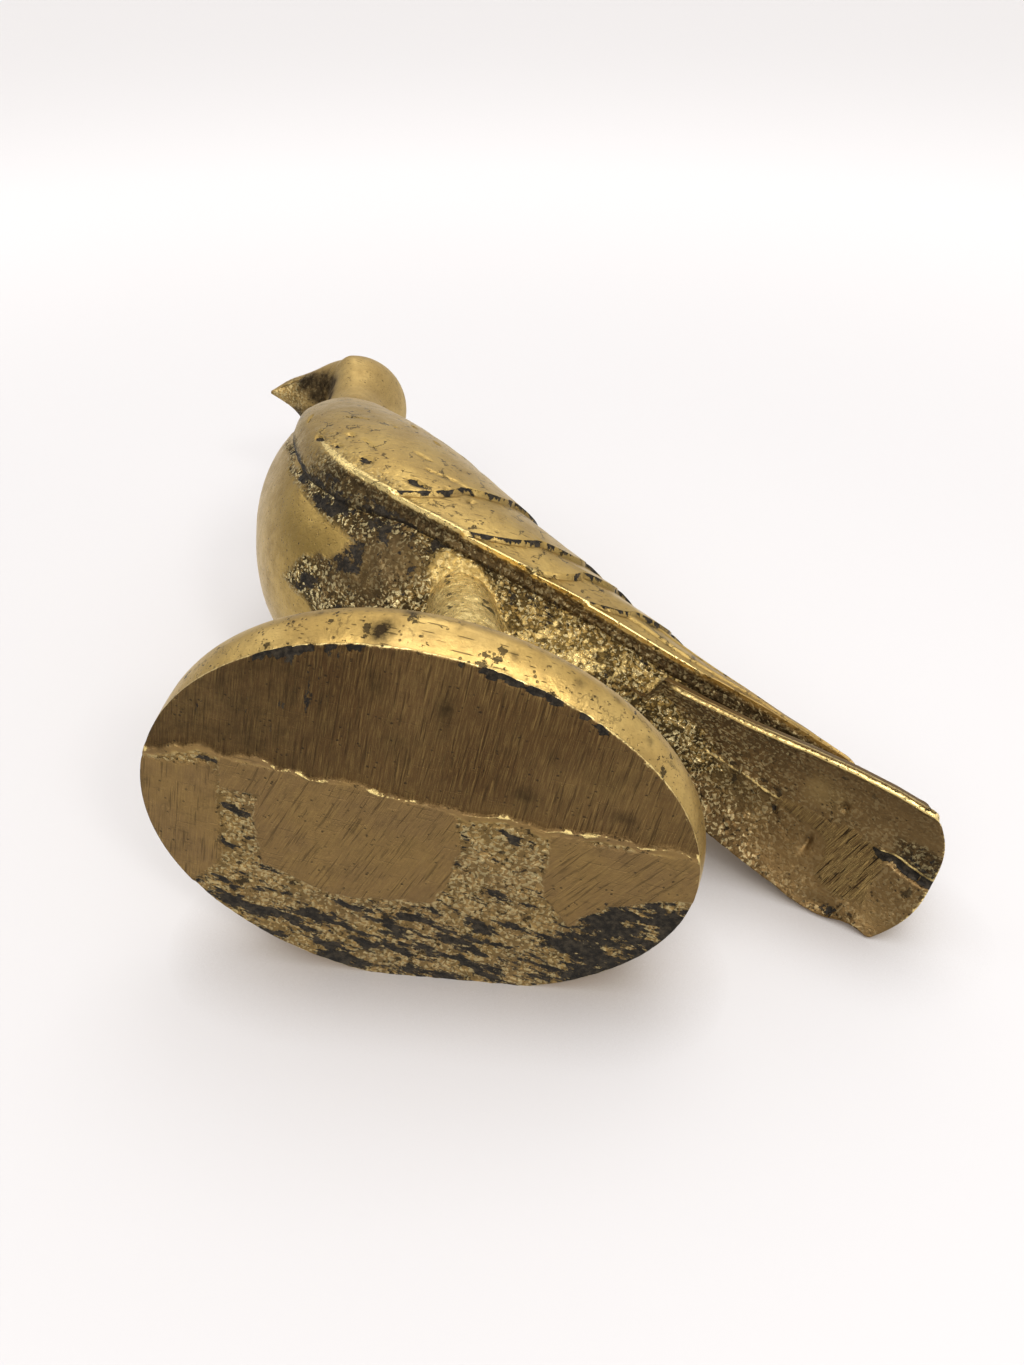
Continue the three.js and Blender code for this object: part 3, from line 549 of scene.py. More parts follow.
# Dark places on it: station, degrees, radius in millimetres and strength.
BELLY_SOOT = [(5.8, -78, 3.0, 0.4), (5.6, -56, 3.2, 0.75), (5.95, -44, 3.2, 0.6), (6.35, -45, 2.2, 0.55),
              (5.45, -39, 3.0, 0.45), (6.9, -47, 1.6, 0.45), (4.95, -31, 2.4, 0.4), (4.2, -32, 3.0, 0.35),
              (3.2, -24, 3.0, 0.4)]
# The top of the leg runs on up the belly as a polished, slightly raised place.
LEG_TOP = [(4.7, -64), (4.79, -56.5), (4.94, -43), (4.96, -36), (4.9, -29.5), (4.74, -27.5), (4.6, -29),
           (4.52, -33), (4.3, -50), (4.15, -64), (4.1, -80), (4.7, -80)]
# Smoother brown places on it, given in the same way.
BELLY_SATIN = [(5.4, -58.5, 4.6, 0.95), (5.2, -48, 4.2, 0.95), (5.75, -64, 1.6, 0.5)]
# Scale behind the leg painted brighter in the rubbed colour, a painted highlight, given in the same way.
BELLY_PAINTED_HIGHLIGHT = [(4.1, -62, 7.0, 0.9), (3.9, -44, 9.0, 0.85), (3.2, -40, 9.0, 0.6)]


def spine_point(station):
    """The spine at a station and the unit way along it, in the plane of x and height."""
    centre = smooth_through(STATIONS[:, :2], station)
    along = smooth_through(STATIONS[:, :2], station + 1e-3) - smooth_through(STATIONS[:, :2], station - 1e-3)
    return centre, along / np.linalg.norm(along, axis=-1, keepdims=True)


def skin(station, degrees, grow=0.0):
    """The skin: a super-ellipse across the spine, reaching apart to back and belly, moved out by grow."""
    station, degrees = np.broadcast_arrays(np.asarray(station, float), np.asarray(degrees, float))
    centre, along = spine_point(station)
    reach = smooth_through(STATIONS[:, 2:], station)
    angle = np.radians(degrees)
    across, rise = (np.sign(v) * abs(v) ** (2 / SECTION_POWER) for v in (np.cos(angle), np.sin(angle)))
    rise = (np.where(rise > 0, reach[..., 1], reach[..., 2]) + grow) * rise
    return np.stack([centre[..., 0] - along[..., 1] * rise, (reach[..., 0] + grow) * across,
                     PLINTH_HEIGHT + centre[..., 1] + along[..., 0] * rise], axis=-1)


def skin_grid(first, last, rows, sides):
    """Stations from first to last, and degrees once round the spine from the middle of the back."""
    return np.meshgrid(np.linspace(first, last, rows), np.linspace(90, 450, sides, endpoint=False),
                       indexing="ij")


def folded(degrees):
    """Degrees up or down from the widest line, the same on both flanks."""
    turned = (degrees + 180) % 360 - 180
    return np.where(abs(turned) > 90, np.sign(turned) * 180 - turned, turned)


def blots(station, degrees, places):
    """Soft blots at places given as station, degrees, radius and strength, the strongest one winning."""
    strongest = 0 * station
    for s, d, radius, strength in places:
        away = ((station - s) * STATION_MM) ** 2 + ((degrees - d) * BELLY_DEGREE_MM) ** 2
        strongest = np.maximum(strongest, strength * np.exp(-away / radius**2))
    return strongest


body_brass = cast_brass("body_brass", (0.53, 0.358, 0.112), (0.42, 0.272, 0.078), (0.19, 0.122, 0.05),
                        (0.12, 0.078, 0.034), 0.3, 0.3, 2.4, 0.9)
station, degrees = skin_grid(RUMP_STATION, NECK_STATION, 340, 280)
loops = skin(station, degrees)
side_angle = folded(degrees)
uneven = 0.6 * lumps(loops, 3.4, 21) + 0.35 * lumps(loops, 1.3, 22)
right_flank = 1 - ease(degrees, 262, 270)
along_mm, around_mm = STATION_MM * station, BELLY_DEGREE_MM * side_angle
rough = patch(STATION_MM * (station + 0.75 * right_flank) + 1.3 * uneven, around_mm + 1.3 * uneven,
              [(STATION_MM * s, BELLY_DEGREE_MM * d) for s, d in ROUGH_BELLY], 0.6)
satin = np.minimum(1.7 * blots(station, side_angle, BELLY_SATIN), 1)
painted_gleam = blots(station, side_angle, BELLY_PAINTED_HIGHLIGHT)
leg_top = patch(along_mm + 0.6 * uneven, around_mm + 0.6 * uneven,
                [(STATION_MM * s, BELLY_DEGREE_MM * d) for s, d in LEG_TOP], 0.7)
leg_top = leg_top * (1 - right_flank)
scale = 0.2 * lumps(loops, 1.9, 23) + 0.16 * lumps(loops, 0.95, 24) - 0.12
relief = 0.35 * leg_top + rough * (1 - 0.6 * leg_top) * scale + 0.05 * lumps(loops, 6.0, 25)
loops = loops + outward(loops) * relief[..., None]
# Rubbed scale over the rough belly, with more of it in the painted highlight behind the leg, which also has less
# soot, dullness and scale.
scale_wear_and_highlight = rough * (1 - leg_top) * (0.45 + 0.2 * painted_gleam)
scale_wear_and_highlight = scale_wear_and_highlight * ease(lumps(loops, 0.9, 27) + 0.9 * painted_gleam, 0.3, 0.8)
casting("body", loops, {
    "cast": rough * (1 - 0.85 * satin) * (1 - 0.7 * leg_top) * (1 - 0.35 * painted_gleam),
    "soot": rough * (0.26 + 0.9 * blots(station, side_angle, BELLY_SOOT) - 0.1 * painted_gleam) * (1 - leg_top),
    "dull": rough * (0.4 + 0.2 * lumps(loops, 6.0, 26) + 0.35 * satin - 0.4 * painted_gleam) * (1 - leg_top),
    "stain": rough * 0.35 * satin * (1 - leg_top),
    "wear_and_highlight": 0.42 * leg_top + scale_wear_and_highlight,
    "stroke": np.stack([along_mm, around_mm, 0 * station], axis=-1),
}, body_brass)

# Head: the upper neck, the round head and the short pointed beak, cast and polished smooth, and
# darker under the beak's root. The figurine has no modelled eyes.
# Dark places under the beak: x, distance from the middle, height and radius.
THROAT_DARK_PLACES = [(51.6, 3.9, 131.1, 1.8), (50.0, 5.1, 130.3, 2.4), (47.6, 5.6, 129.2, 2.8),
               (45.6, 6.3, 127.0, 2.4), (44.4, 7.0, 125.0, 2.0), (48.0, 3.5, 128.8, 2.8),
               (44.0, 5.0, 122.0, 2.4)]
head_brass = cast_brass("head_brass", (0.56, 0.395, 0.15), (0.46, 0.305, 0.105), (0.27, 0.18, 0.08),
                        (0.15, 0.10, 0.045), 0.1, 0.42, 2.0, 0.9)
station, degrees = skin_grid(NECK_STATION, BEAK_STATION, 260, 220)
loops = skin(station, degrees)
side_angle = folded(degrees)
gape = np.exp(-((side_angle + 12) / 9) ** 2) * ease(station, 13.3, 13.8) * ease(-station, -14.95, -14.6)
loops = loops - outward(loops) * (0.28 * gape + 0.12 + 0.06 * lumps(loops, 5.0, 31))[..., None]
beak = ease(station, 12.9, 13.6)
throat_dark = 0 * station
for x, y, z, radius in THROAT_DARK_PLACES:
    away = (loops[..., 0] - x) ** 2 + (abs(loops[..., 1]) - y) ** 2 + (loops[..., 2] - z) ** 2
    throat_dark = np.maximum(throat_dark, 1.7 * np.exp(-away / radius**2))
casting("head", loops, {
    "cast": np.clip(0.4 * beak + 0.15 * throat_dark, 0, 1),
    "soot": 0.25 * gape,
    "dull": np.clip(0.25 * beak + 0.6 * throat_dark, 0, 1),
    "stain": np.clip(throat_dark + 0.6 * gape, 0, 1),
    "stroke": np.stack([10 * station, 0.3 * side_angle, 0 * station], axis=-1),
}, head_brass)

# Tail: a blade hollow on its underside, dull brown with a file patch, a notch at its end and a
# bright edge along its left side, partly wear and partly a painted highlight. It was cast with the rump.
# Root and tip in x and height over the plinth.
TAIL_ROOT = np.array([-31.0, 27.0])
TAIL_TIP = np.array([-71.15, 5.28])
# Reach to the left and to the right of the middle line at places along the blade.
LEFT_EDGE = np.array([(0, 11.4), (6.6, 11.4), (13.9, 11.7), (18, 12.1), (23, 12.6), (30, 13.1), (36, 13.15),
                      (40, 12.9)])
RIGHT_EDGE = np.array([(0, 9.2), (10, 9.1), (14.6, 9.4), (18.7, 10.2), (22.7, 11.0), (26.4, 11.5),
                       (29.4, 12.2), (32, 12.5), (34, 12.45), (35.6, 12.1), (37.3, 11.3), (38.6, 10.9),
                       (40, 11.0), (41.7, 11.4)])
TAIL_ROOT_SAG = 4.4
TAIL_TIP_SAG = 2.9
TAIL_THICKNESS = 4.0
TAIL_EDGE = 1.6
TAIL_BOW = 3.2
TAIL_SKEW = 0.5
TAIL_BEVEL = 1.5
TAIL_CORNER = 1.5
TONGUE_LENGTH = 6.0
TONGUE_HALF = 7.0
# Corners of the file patch, its first ticks, the notch in the end and the dark beside it: along and across.
FILE_PATCH = [(30.2, -0.6), (31.8, 2.2), (36.2, 1.6), (38.6, 0.2), (39.0, -7.6), (35, -9), (31.6, -7.8)]
FILE_TICKS = [(21.5, 0.9), (30.5, 1.2), (32, -1.6), (21.5, -0.7)]
END_NOTCH = [(35.6, 0.9), (38, 1.4), (41.4, 1.6), (46, 1.0), (49, 1.2), (49, -0.6), (44.1, -0.7),
             (41, -0.6), (38, -0.2)]
NOTCH_SHADE = [(38.6, 4.6), (42.5, 5.7), (46, 4.5), (46, 1.2), (40, 1.0)]
# Pits beside the middle line: place along the blade, place across it and half length across.
TAIL_PITS = [(28.0, -3.9, 1.4), (30.7, 4.8, 0.9), (21.5, -2.0, 0.6)]
run = TAIL_TIP - TAIL_ROOT
straight = np.hypot(*run) - TAIL_BOW
run = run / np.hypot(*run)
quarter_turn = np.sin(np.linspace(0, np.pi / 2, 14))[1:]
place = np.concatenate([[-TONGUE_LENGTH, -2.0, -1.0], np.linspace(0, straight - TAIL_CORNER, 210),
                        straight - TAIL_CORNER + TAIL_CORNER * quarter_turn])[:, None]
share = np.maximum(place / straight, 0)
flare = np.clip(1 + place / 2, 0, 1)
in_corner = np.clip((place - straight + TAIL_CORNER) / TAIL_CORNER, 0, 1)
corner = TAIL_CORNER * (1 - np.sqrt(1 - in_corner**2))
sag = (TAIL_ROOT_SAG + (TAIL_TIP_SAG - TAIL_ROOT_SAG) * share) * (1 - corner / 12) ** 2
# Each loop of points runs across the underside, up the left side, back over the top and down.
under_count, side_count, top_count = 131, 6, 81
below = np.sin(np.linspace(-np.pi / 2, np.pi / 2, under_count)) * 0.35
below = below + np.linspace(-1, 1, under_count) * 0.65
above = np.linspace(1, -1, top_count)
across = np.concatenate([below, np.ones(side_count), above, -np.ones(side_count)])[None, :]
up_side = np.linspace(0.12, 0.88, side_count)
top_share = np.concatenate([np.zeros(under_count), up_side, np.ones(top_count),
                            np.linspace(0.88, 0.12, side_count)])[None, :]
crown = TAIL_THICKNESS - TAIL_EDGE
edge = np.where(across < 0, np.interp(place, *RIGHT_EDGE.T), np.interp(place, *LEFT_EDGE.T))
half = TONGUE_HALF + (edge - TONGUE_HALF) * flare - corner
bow = (TAIL_BOW * (1 - abs(across) ** 3) - TAIL_SKEW * across - TAIL_BEVEL * top_share) * share**6
across = across * (1 - 0.02 * top_share)
u = place + bow
v = across * half
under = (top_share < 0.01) * 1.0
flat = np.stack([u, v, 0 * u], axis=-1)
uneven = 0.6 * lumps(flat, 2.6, 41) + 0.35 * lumps(flat, 1.0, 42)
centre_line = 1.4 - 1.3 * ease(u, 8, 26) + 0.25 * uneven
ridge = np.clip(1 - abs(v - centre_line) / 0.8, 0, 1) * ease(u, 2, 6) * ease(-u, -25, -20)
ticks = patch(u + 0.4 * uneven, v + 0.3 * uneven, FILE_TICKS, 0.4)
hollow = np.exp(-((v - centre_line + 3.2) / 2.2) ** 2) * ease(-u, -30, -14)
filed = np.maximum(patch(u + 0.7 * uneven, v + 0.7 * uneven, FILE_PATCH, 0.5), 0.8 * ticks) * under
notch = patch(u + 0.7 * uneven, v + 0.7 * uneven, END_NOTCH, 0.3) * ease(u, 34, 39) * (top_share < 0.7)
crease = np.exp(-((v - 1.5 + 0.09 * (u - 37) + 0.3 * uneven) / 0.35) ** 2) * ease(u, 36.5, 38) * under
lip = np.clip(1.4 - abs(across - 1) * half / (0.85 + 0.6 * uneven), 0, 1) * under * ease(u, 0, 3)
right_pit = np.exp(-((u - 34.6) / 2.6) ** 2 - ((v + 11.4) / 1.0) ** 2)
for pit_u, pit_v, long in TAIL_PITS:
    off_u, off_v = u - pit_u + 0.3 * uneven, v - pit_v + 0.3 * uneven
    right_pit = np.maximum(right_pit, 1.15 * np.exp(-((off_u / 0.6) ** 2 + (off_v / long) ** 2)))
rough = 0.75 * ease(-u, -30, -6) + 0.2 + 0.25 * ease(abs(across), 0.8, 1) + 0.25 * lumps(flat, 4.0, 48)
rough = under * np.clip(rough, 0, 1) * (1 - filed) * (1 - 0.6 * lip)
level = sag * across**2 - top_share * (TAIL_EDGE + crown * (1 - across**2))
from_edge = (1 - across) * half
bead = np.clip(1 - ((from_edge - 0.6) / (0.5 + 0.15 * uneven)) ** 2, 0, 1) * under * ease(u, 0, 3)
relief = 0.25 * ridge + 0.4 * bead - 0.25 * hollow - 0.8 * notch - 0.7 * right_pit + 0.3 * crease
relief = relief + rough * (0.16 * lumps(flat, 1.6, 43) + 0.1 * lumps(flat, 0.8, 44))
relief = relief + 0.06 * lumps(flat, 5.0, 45)
round_off = 0.6 * np.clip(1 - from_edge / 1.2, 0, 1) ** 2
round_off = round_off + 0.35 * np.clip(1 - (straight - place) / 1.1, 0, 1) ** 2
level = level + np.where(under > 0, relief - 0.1 - round_off, 0.0)
loops = np.stack([TAIL_ROOT[0] + run[0] * u - run[1] * level, v + 0 * u,
                  PLINTH_HEIGHT + TAIL_ROOT[1] + run[1] * u + run[0] * level], axis=-1)
# The end face: three more loops draw the last one in to the line half way between its lower and
# upper edges.
top_first = under_count + side_count
lower_line, upper_line = (
    np.stack([np.interp(across[-1], across[-1, span], loops[-1, span, axis]) for axis in range(3)], axis=-1)
    for span in (slice(0, under_count), slice(top_first + top_count - 1, top_first - 1, -1)))
end_line = (lower_line + upper_line) / 2
drawn_in = np.array([0.35, 0.7, 0.97])[:, None, None]
loops = np.concatenate([loops, loops[-1] + (end_line - loops[-1]) * drawn_in])
side_face = ((top_share > 0.01) & (top_share < 0.99)) * 1.0
heading = np.radians(-15)
tail_brass = cast_brass("tail_brass", (0.66, 0.48, 0.18), (0.20, 0.124, 0.048), (0.182, 0.112, 0.045),
                        (0.15, 0.094, 0.04), 0.6, 0.32, 2.0, 0.8)
shade = patch(u + uneven, v + uneven, NOTCH_SHADE, 0.9) * under
soot = 1.1 * notch + 0.6 * right_pit + 0.4 * shade + 0.22 * rough * ease(-u, -26, -6)
# Rubbed colour on the left edge's lip and bead, along the middle ridge, on the crease and at the end: partly
# wear, partly painted highlight.
wear_and_highlight = np.maximum(0.75 * lip, bead) + 0.42 * rough * ease(lumps(flat, 1.0, 47), 0.35, 0.7)
wear_and_highlight = wear_and_highlight + 0.6 * ridge * under + 0.7 * crease
wear_and_highlight = wear_and_highlight + 0.5 * under * np.clip(1 - (straight - place) / 0.9, 0, 1)
tail_marks = {
    "cast": np.clip(rough * (0.58 - 0.12 * ease(u, 15, 30)) + 0.5 * shade, 0, 1),
    "soot": np.clip(soot, 0, 1) * (1 - 0.9 * crease),
    "dull": under * (0.54 + 0.18 * lumps(flat, 7.0, 46)) * (1 - lip) + side_face * 0.5 + (1 - under) * 0.25,
    "stain": 0.6 * shade * (1 - crease) + 0.35 * hollow * under,
    "wear_and_highlight": wear_and_highlight,
    "filed": filed * 2.4 + 0 * u,
    "stroke": 1.1 * np.stack([*turn_axes(u, v, heading), 0 * u], axis=-1),
}
tail_marks = {key: np.concatenate([value, np.repeat(value[-1:], 3, axis=0)])
              for key, value in tail_marks.items()}
casting("tail", loops, tail_marks, tail_brass)

# Wings: a shell cast on each flank, with a sharp ridge along its lower edge and a smooth hollow
# band under it. Four rows of feathers overlap towards long flight feathers that lie on the tail.
WING_TIP_STATION = 0.75
WING_FRONT_STATION = 8.15
FRONT_BULGE_HEIGHT = 0.35
CREST_SWEEP = 5.0
RIDGE_SWEEP = 3.0
WING_THICKNESS = 2.4
EDGE_ROUND = 4.0
WING_RISE = 22.0
RIDGE_RISE = 0.5
ROW_STEP = 0.75
# Station and degrees of the lower seam, of the ridge, and of the upper edge.
SEAM = np.array([(0.7, -34), (2, -34), (3, -25), (3.7, -21), (4.5, -26), (5.3, -31), (5.8, -41), (6.3, -45),
                 (8.2, -46)])
RIDGE = np.array([(0.7, -6), (2, -8), (2.9, -14), (4, -18), (5.2, -24), (6, -28), (8.2, -32)])
CREST = np.array([(0.7, 85), (2.5, 83), (4, 78), (5.5, 70), (7, 58), (8.2, 44)])
# Free edges of the feather rows: the stations of their lower, middle and upper points.
ROWS = [(3.85, 3.2, 2.85), (4.3, 3.78, 3.5), (4.85, 4.12, 3.95), (5.5, 4.92, 4.7)]
# How far the hollow band stands out at seven places from the seam to the ridge, as a share of the
# ridge's own: behind the shoulder and on it.
BAND_REAR = (-0.42, 0.12, 0.22, 0.27, 0.36, 0.56, 1.0)
BAND_FRONT = (-0.42, 0.2, 0.46, 0.66, 0.82, 0.93, 1.0)
FEATHERS_PER_ROW = 4
FLIGHT_FEATHERS = 6
WING_DEGREE_MM = 0.4
# Nicks left by the sand on the shoulder: station, degrees, length, width, slant and depth.
NICKS = [(6.52, -29, 1.1, 0.5, -20, 0.5), (6.36, -17, 0.8, 0.4, -15, 0.4), (6.27, -25, 0.8, 0.3, -30, 0.35),
         (6.14, -14, 2.2, 0.16, -8, 0.3), (5.93, -21, 0.8, 0.5, -20, 0.5), (6.54, 14.5, 1.0, 0.22, 10, 0.3),
         (6.06, 16, 1.1, 0.25, 12, 0.35), (5.7, 0, 2.0, 0.15, -12, 0.3), (5.42, -3, 2.2, 0.15, -25, 0.3),
         (5.44, -15, 1.3, 0.5, -10, 0.7), (5.22, -8, 0.6, 0.3, 60, 0.4), (5.04, -3, 0.6, 0.4, 70, 0.4),
         (7.04, -29, 1.4, 0.3, 30, 0.3), (6.7, -9, 1.8, 0.16, -60, 0.25), (6.4, 3, 0.7, 0.2, 5, 0.25),
         (5.9, 28, 0.9, 0.2, 20, 0.3)]


def row_edge(row, height):
    """Station of a row's free edge: a parabola through its three stations, less a scallop for each feather."""
    low, middle, high = row
    line = low + (4 * middle - 3 * low - high) * height + 2 * (low + high - 2 * middle) * height**2
    return line - 0.07 * abs(np.sin(np.pi * FEATHERS_PER_ROW * height))


wing_brass = cast_brass("wing_brass", (0.57, 0.392, 0.128), (0.43, 0.278, 0.088), (0.23, 0.15, 0.062),
                        (0.13, 0.085, 0.038), 0.5, 0.28, 1.5, 0.9, 0.8)
lower = np.linspace(-1, 0, 56)[:, None]
upper = (np.sin(np.linspace(0, np.pi / 2, 130)) * 0.6 + np.linspace(0, 1, 130) * 0.4)[1:, None]
height = np.concatenate([lower, upper])
up = np.clip(height, 0, 1)
sweep = np.where(up > FRONT_BULGE_HEIGHT, CREST_SWEEP, RIDGE_SWEEP)
front_edge = WING_FRONT_STATION - sweep * (up - FRONT_BULGE_HEIGHT) ** 2
edges = [np.full(up.shape, WING_TIP_STATION)] + [row_edge(row, up) for row in ROWS] + [front_edge]
# Columns of points over the flight feathers and over each row, and half the width of the step between.
counts = (120, 40, 40, 50, 150)
half_step = 0.012
columns, steps, sections, behind = [], [], [], []
for index, count in enumerate(counts):
    share = np.linspace(0, 1, count)[None, :]
    eased = np.sin(share * np.pi / 2) if index == 4 else share
    start = edges[index] + (half_step if index else 0.0)
    stop = edges[index + 1] - (half_step if index < 4 else 0.0)
    columns.append(start + (stop - start) * eased)
    steps.append(0 * up + ((0.5 - eased) if index else 0 * share - 0.5))
    sections.append(0 * up + index + 0 * share)
    behind.append((columns[-1] - edges[index]) * STATION_MM)
station, step, section, behind = (np.concatenate(parts, axis=1)
                                  for parts in (columns, steps, sections, behind))
seam, ridge_line, crest = (np.interp(station, table[:, 0], table[:, 1]) for table in (SEAM, RIDGE, CREST))
shoulder = ease(station, 5.3, 6.4)
taper = 0.7 + 0.3 * np.minimum(1, station / 4)
full = WING_THICKNESS * taper + ROW_STEP * step * np.minimum(1, taper)


def rounding(distance):
    """A quarter circle in from an edge."""
    return np.sqrt(1 - (1 - np.clip(distance / EDGE_ROUND, 0, 1)) ** 2)


millimetres = np.linalg.norm(smooth_through(STATIONS[:, :2], station + 0.01)
                             - smooth_through(STATIONS[:, :2], station - 0.01), axis=-1) / 0.02
tip_round = np.maximum(0.4, rounding((station - WING_TIP_STATION) * millimetres))
ends = rounding((front_edge - station) * millimetres) * tip_round
down = np.clip(height + 1, 0, 1)
band_rear, band_front = (smooth_through(np.array(profile)[:, None], down * 6)[..., 0]
                         for profile in (BAND_REAR, BAND_FRONT))
band = band_rear + (band_front - band_rear) * shoulder
chord = (crest - ridge_line) * 0.37
lip = RIDGE_RISE * (1 - shoulder) * np.exp(-up * chord / 1.0)
depth_up = -1 + (full + 1) * rounding((1 - up) * WING_RISE * taper) + lip
depth = np.where(height >= 0, depth_up, band * (full + RIDGE_RISE * (1 - shoulder)))
angle = np.where(height >= 0, ridge_line + (crest - ridge_line) * up, seam + (ridge_line - seam) * down)
flat = np.stack([STATION_MM * station, WING_DEGREE_MM * angle, 0 * station], axis=-1)
uneven = 0.6 * lumps(flat, 2.4, 51) + 0.35 * lumps(flat, 0.9, 52)
feathers = np.where(section > 0, FEATHERS_PER_ROW, FLIGHT_FEATHERS)
feather = feathers * (up + 0.012 * uneven)
gap = (0.5 - abs(feather - np.floor(feather) - 0.5)) / feathers * chord
reach = np.where(section > 0, np.exp(-behind / (3.5 + 2 * lumps(flat, 4.0, 53))),
                 ease(-station, -3.9, -2.2) * 0.5 + 0.5)
split = np.exp(-((gap / 0.3) ** 2)) * reach * (up > 0.02) * (up < 0.9) * (0.6 + 0.5 * lumps(flat, 3.0, 54))
overlap = np.where(section == 0, 0.32 * (1 - (feather - np.floor(feather))), 0.0)
overlap = overlap * (up > 0) * ease(-up, -0.95, -0.7)
ahead = np.min([np.where(edge > station, (edge - station) * STATION_MM, 99.0) for edge in edges[1:5]], axis=0)
foot = np.clip(1 - ahead / (0.5 + 0.3 * uneven), 0, 1) * (height > -0.02) * (up < 0.95)
nick = np.zeros(station.shape)
for s, d, length, width, slant, sunk in NICKS:
    off_x, off_y = (station - s) * STATION_MM, (angle - d) * WING_DEGREE_MM
    off_x, off_y = turn_axes(off_x, off_y, np.radians(slant))
    off_x, off_y = off_x + 0.25 * uneven, off_y + 0.15 * uneven
    near = np.exp(-((off_x / length / 1.2) ** 2 + (off_y / width / 1.35) ** 2))
    nick = np.maximum(nick, sunk * ease(near, 0.35, 0.5))
notch = np.clip(1 - ahead / 1.6, 0, 1) * ease(lumps(flat, 1.3, 55), 0.4, 0.7) * (height > -0.02) * (up < 0.95)
relief = overlap - 0.3 * split - nick - 0.35 * notch - 0.12 * foot + 0.09 * lumps(flat, 4.0, 56)
rolled = ease(station, 6.0, 6.5) * ease(down, 0.12, 0.42)
cast = (height < 0) * (0.45 + 0.5 * shoulder) * ease(-down, -1.0, -0.8) * (1 - 0.9 * rolled) + 0 * station
relief = relief + cast * 0.16 * lumps(flat, 1.1, 57)
crumple = np.exp(-((height * chord / 2.2) ** 2)) * (height > 0)
crumple = crumple * ease(station, 5.0, 5.5) * ease(-station, -6.9, -6.5)
relief = relief + 0.22 * crumple * lumps(flat, 1.5, 63)
# Where each row's step rises: painted shade that darkens the step's bright face.
riser_shade = (behind < 0.25) * (section > 0) * (up > 0.015) * (up < 0.93) * (0.62 + 0.5 * lumps(flat, 4.2, 60))
outer = skin(station, angle, -1 + (depth + relief + 1) * ends)
keep = np.linspace(0, 1, 25)
inner_station = WING_TIP_STATION + (front_edge - WING_TIP_STATION) * keep
inner_angle = np.interp(inner_station, RIDGE[:, 0], RIDGE[:, 1])
inner_crest = np.interp(inner_station, CREST[:, 0], CREST[:, 1])
inner_seam = np.interp(inner_station, SEAM[:, 0], SEAM[:, 1])
inner_angle = np.where(height >= 0, inner_angle + (inner_crest - inner_angle) * up,
                       inner_seam + (inner_angle - inner_seam) * down)
centre, _ = spine_point(inner_station)
root = np.stack([centre[..., 0], 0 * centre[..., 0], PLINTH_HEIGHT + centre[..., 1]], axis=-1)
over_body = (0.2 + 0.72 * ease(inner_station, 1.6, 3.2))[..., None]
root = root + (skin(inner_station, inner_angle) - root) * over_body
wing_loops = np.concatenate([outer, root[:, ::-1]], axis=1)
pad = np.zeros(root.shape[:2])
# A painted highlight along the ridge, in the rubbed colour.
painted_ridge_shine = np.exp(-((height * np.where(height < 0, 5.0, chord) / 0.6) ** 2))
painted_ridge_shine = painted_ridge_shine * (1 - 0.75 * ease(station, 6.1, 6.7)) * ease(station, 2.4, 3.0)
# Dark along the foot of each row's step, which is also dulled below: partly a dark crack line, partly painted
# shade.
foot_shade = 0.4 + 0.6 * ease(lumps(flat, 1.6, 58), -0.3, 0.3)
band_soot = 0.34 * ease(-down, -0.5, 0) + 0.46 * shoulder * ease(-down, -0.85, -0.5)
band_soot = band_soot + 0.4 * np.exp(-((station - 5.4) / 0.5) ** 2) * ease(-down, -0.8, -0.4)
band_soot = (height < 0) * band_soot * (1 + 0.5 * lumps(flat, 3.5, 62)) * (1 - 0.95 * rolled)
soot = 1.6 * nick + 0.6 * foot * foot_shade + 0.7 * notch + 0.45 * split + riser_shade + band_soot
band_stain = 0.42 + 0.35 * ease(station, 4.2, 5.6) + 0.3 * lumps(flat, 3.0, 61)
dull = (height < 0) * ease(-down, -0.97, -0.8) * (0.8 - 0.3 * shoulder) * (1 - 0.9 * rolled)
dull = dull + 0.35 * foot + 0.2 * ease(lumps(flat, 7.0, 59), 0, 1) + 0.3 * ease(-station, -3.2, -2.2)
wing_marks = {
    "cast": np.clip(cast + 0.5 * notch + 0.3 * crumple, 0, 1),
    "soot": np.clip(soot, 0, 1),
    "stain": (height < 0) * ease(-down, -0.95, -0.75) * band_stain * (1 - 0.75 * rolled),
    "dull": np.clip(dull, 0, 1),
    "wear_and_highlight": np.clip(painted_ridge_shine + 0.1 * np.exp(-behind / 0.8) * (section > 0) * (height > 0), 0, 1),
}
wing_marks = {key: np.concatenate([value, pad], axis=1) for key, value in wing_marks.items()}
wing_marks["stroke"] = np.concatenate([flat[..., [1, 0, 2]], np.zeros(root.shape)], axis=1)
for side, name in ((1, "wing_left"), (-1, "wing_right")):
    casting(name, wing_loops * [1, side, 1], wing_marks, wing_brass)

# Table: a plain white sheet, seen only by the camera. The figurine lies on it on its right side,
# so in the figurine's own upright frame the sheet stands almost on edge. Its colour is painted
# darker where the figurine nearly touches it: a painted contact shadow.
TABLE_UP = Vector((0.21325, 0.97603, -0.04340)).normalized()
TABLE_LEVEL = -0.0261155
TABLE_REACH = 4
table_mesh = bpy.data.meshes.new("table")
side_way = TABLE_UP.cross(Vector((0, 0, 1))).normalized()
far_way = TABLE_UP.cross(side_way)
corners = [TABLE_UP * TABLE_LEVEL + TABLE_REACH * (a * side_way + b * far_way)
           for a, b in ((-1, -1), (1, -1), (1, 1), (-1, 1))]
table_mesh.from_pydata(corners, [], [(0, 1, 2, 3)])
table_mesh.update()
if table_mesh.polygons[0].normal.dot(TABLE_UP) < 0:
    table_mesh.flip_normals()
table = bpy.data.objects.new("table", table_mesh)
bpy.context.scene.collection.objects.link(table)
paper = bpy.data.materials.new("white_table")
paper.use_nodes = True
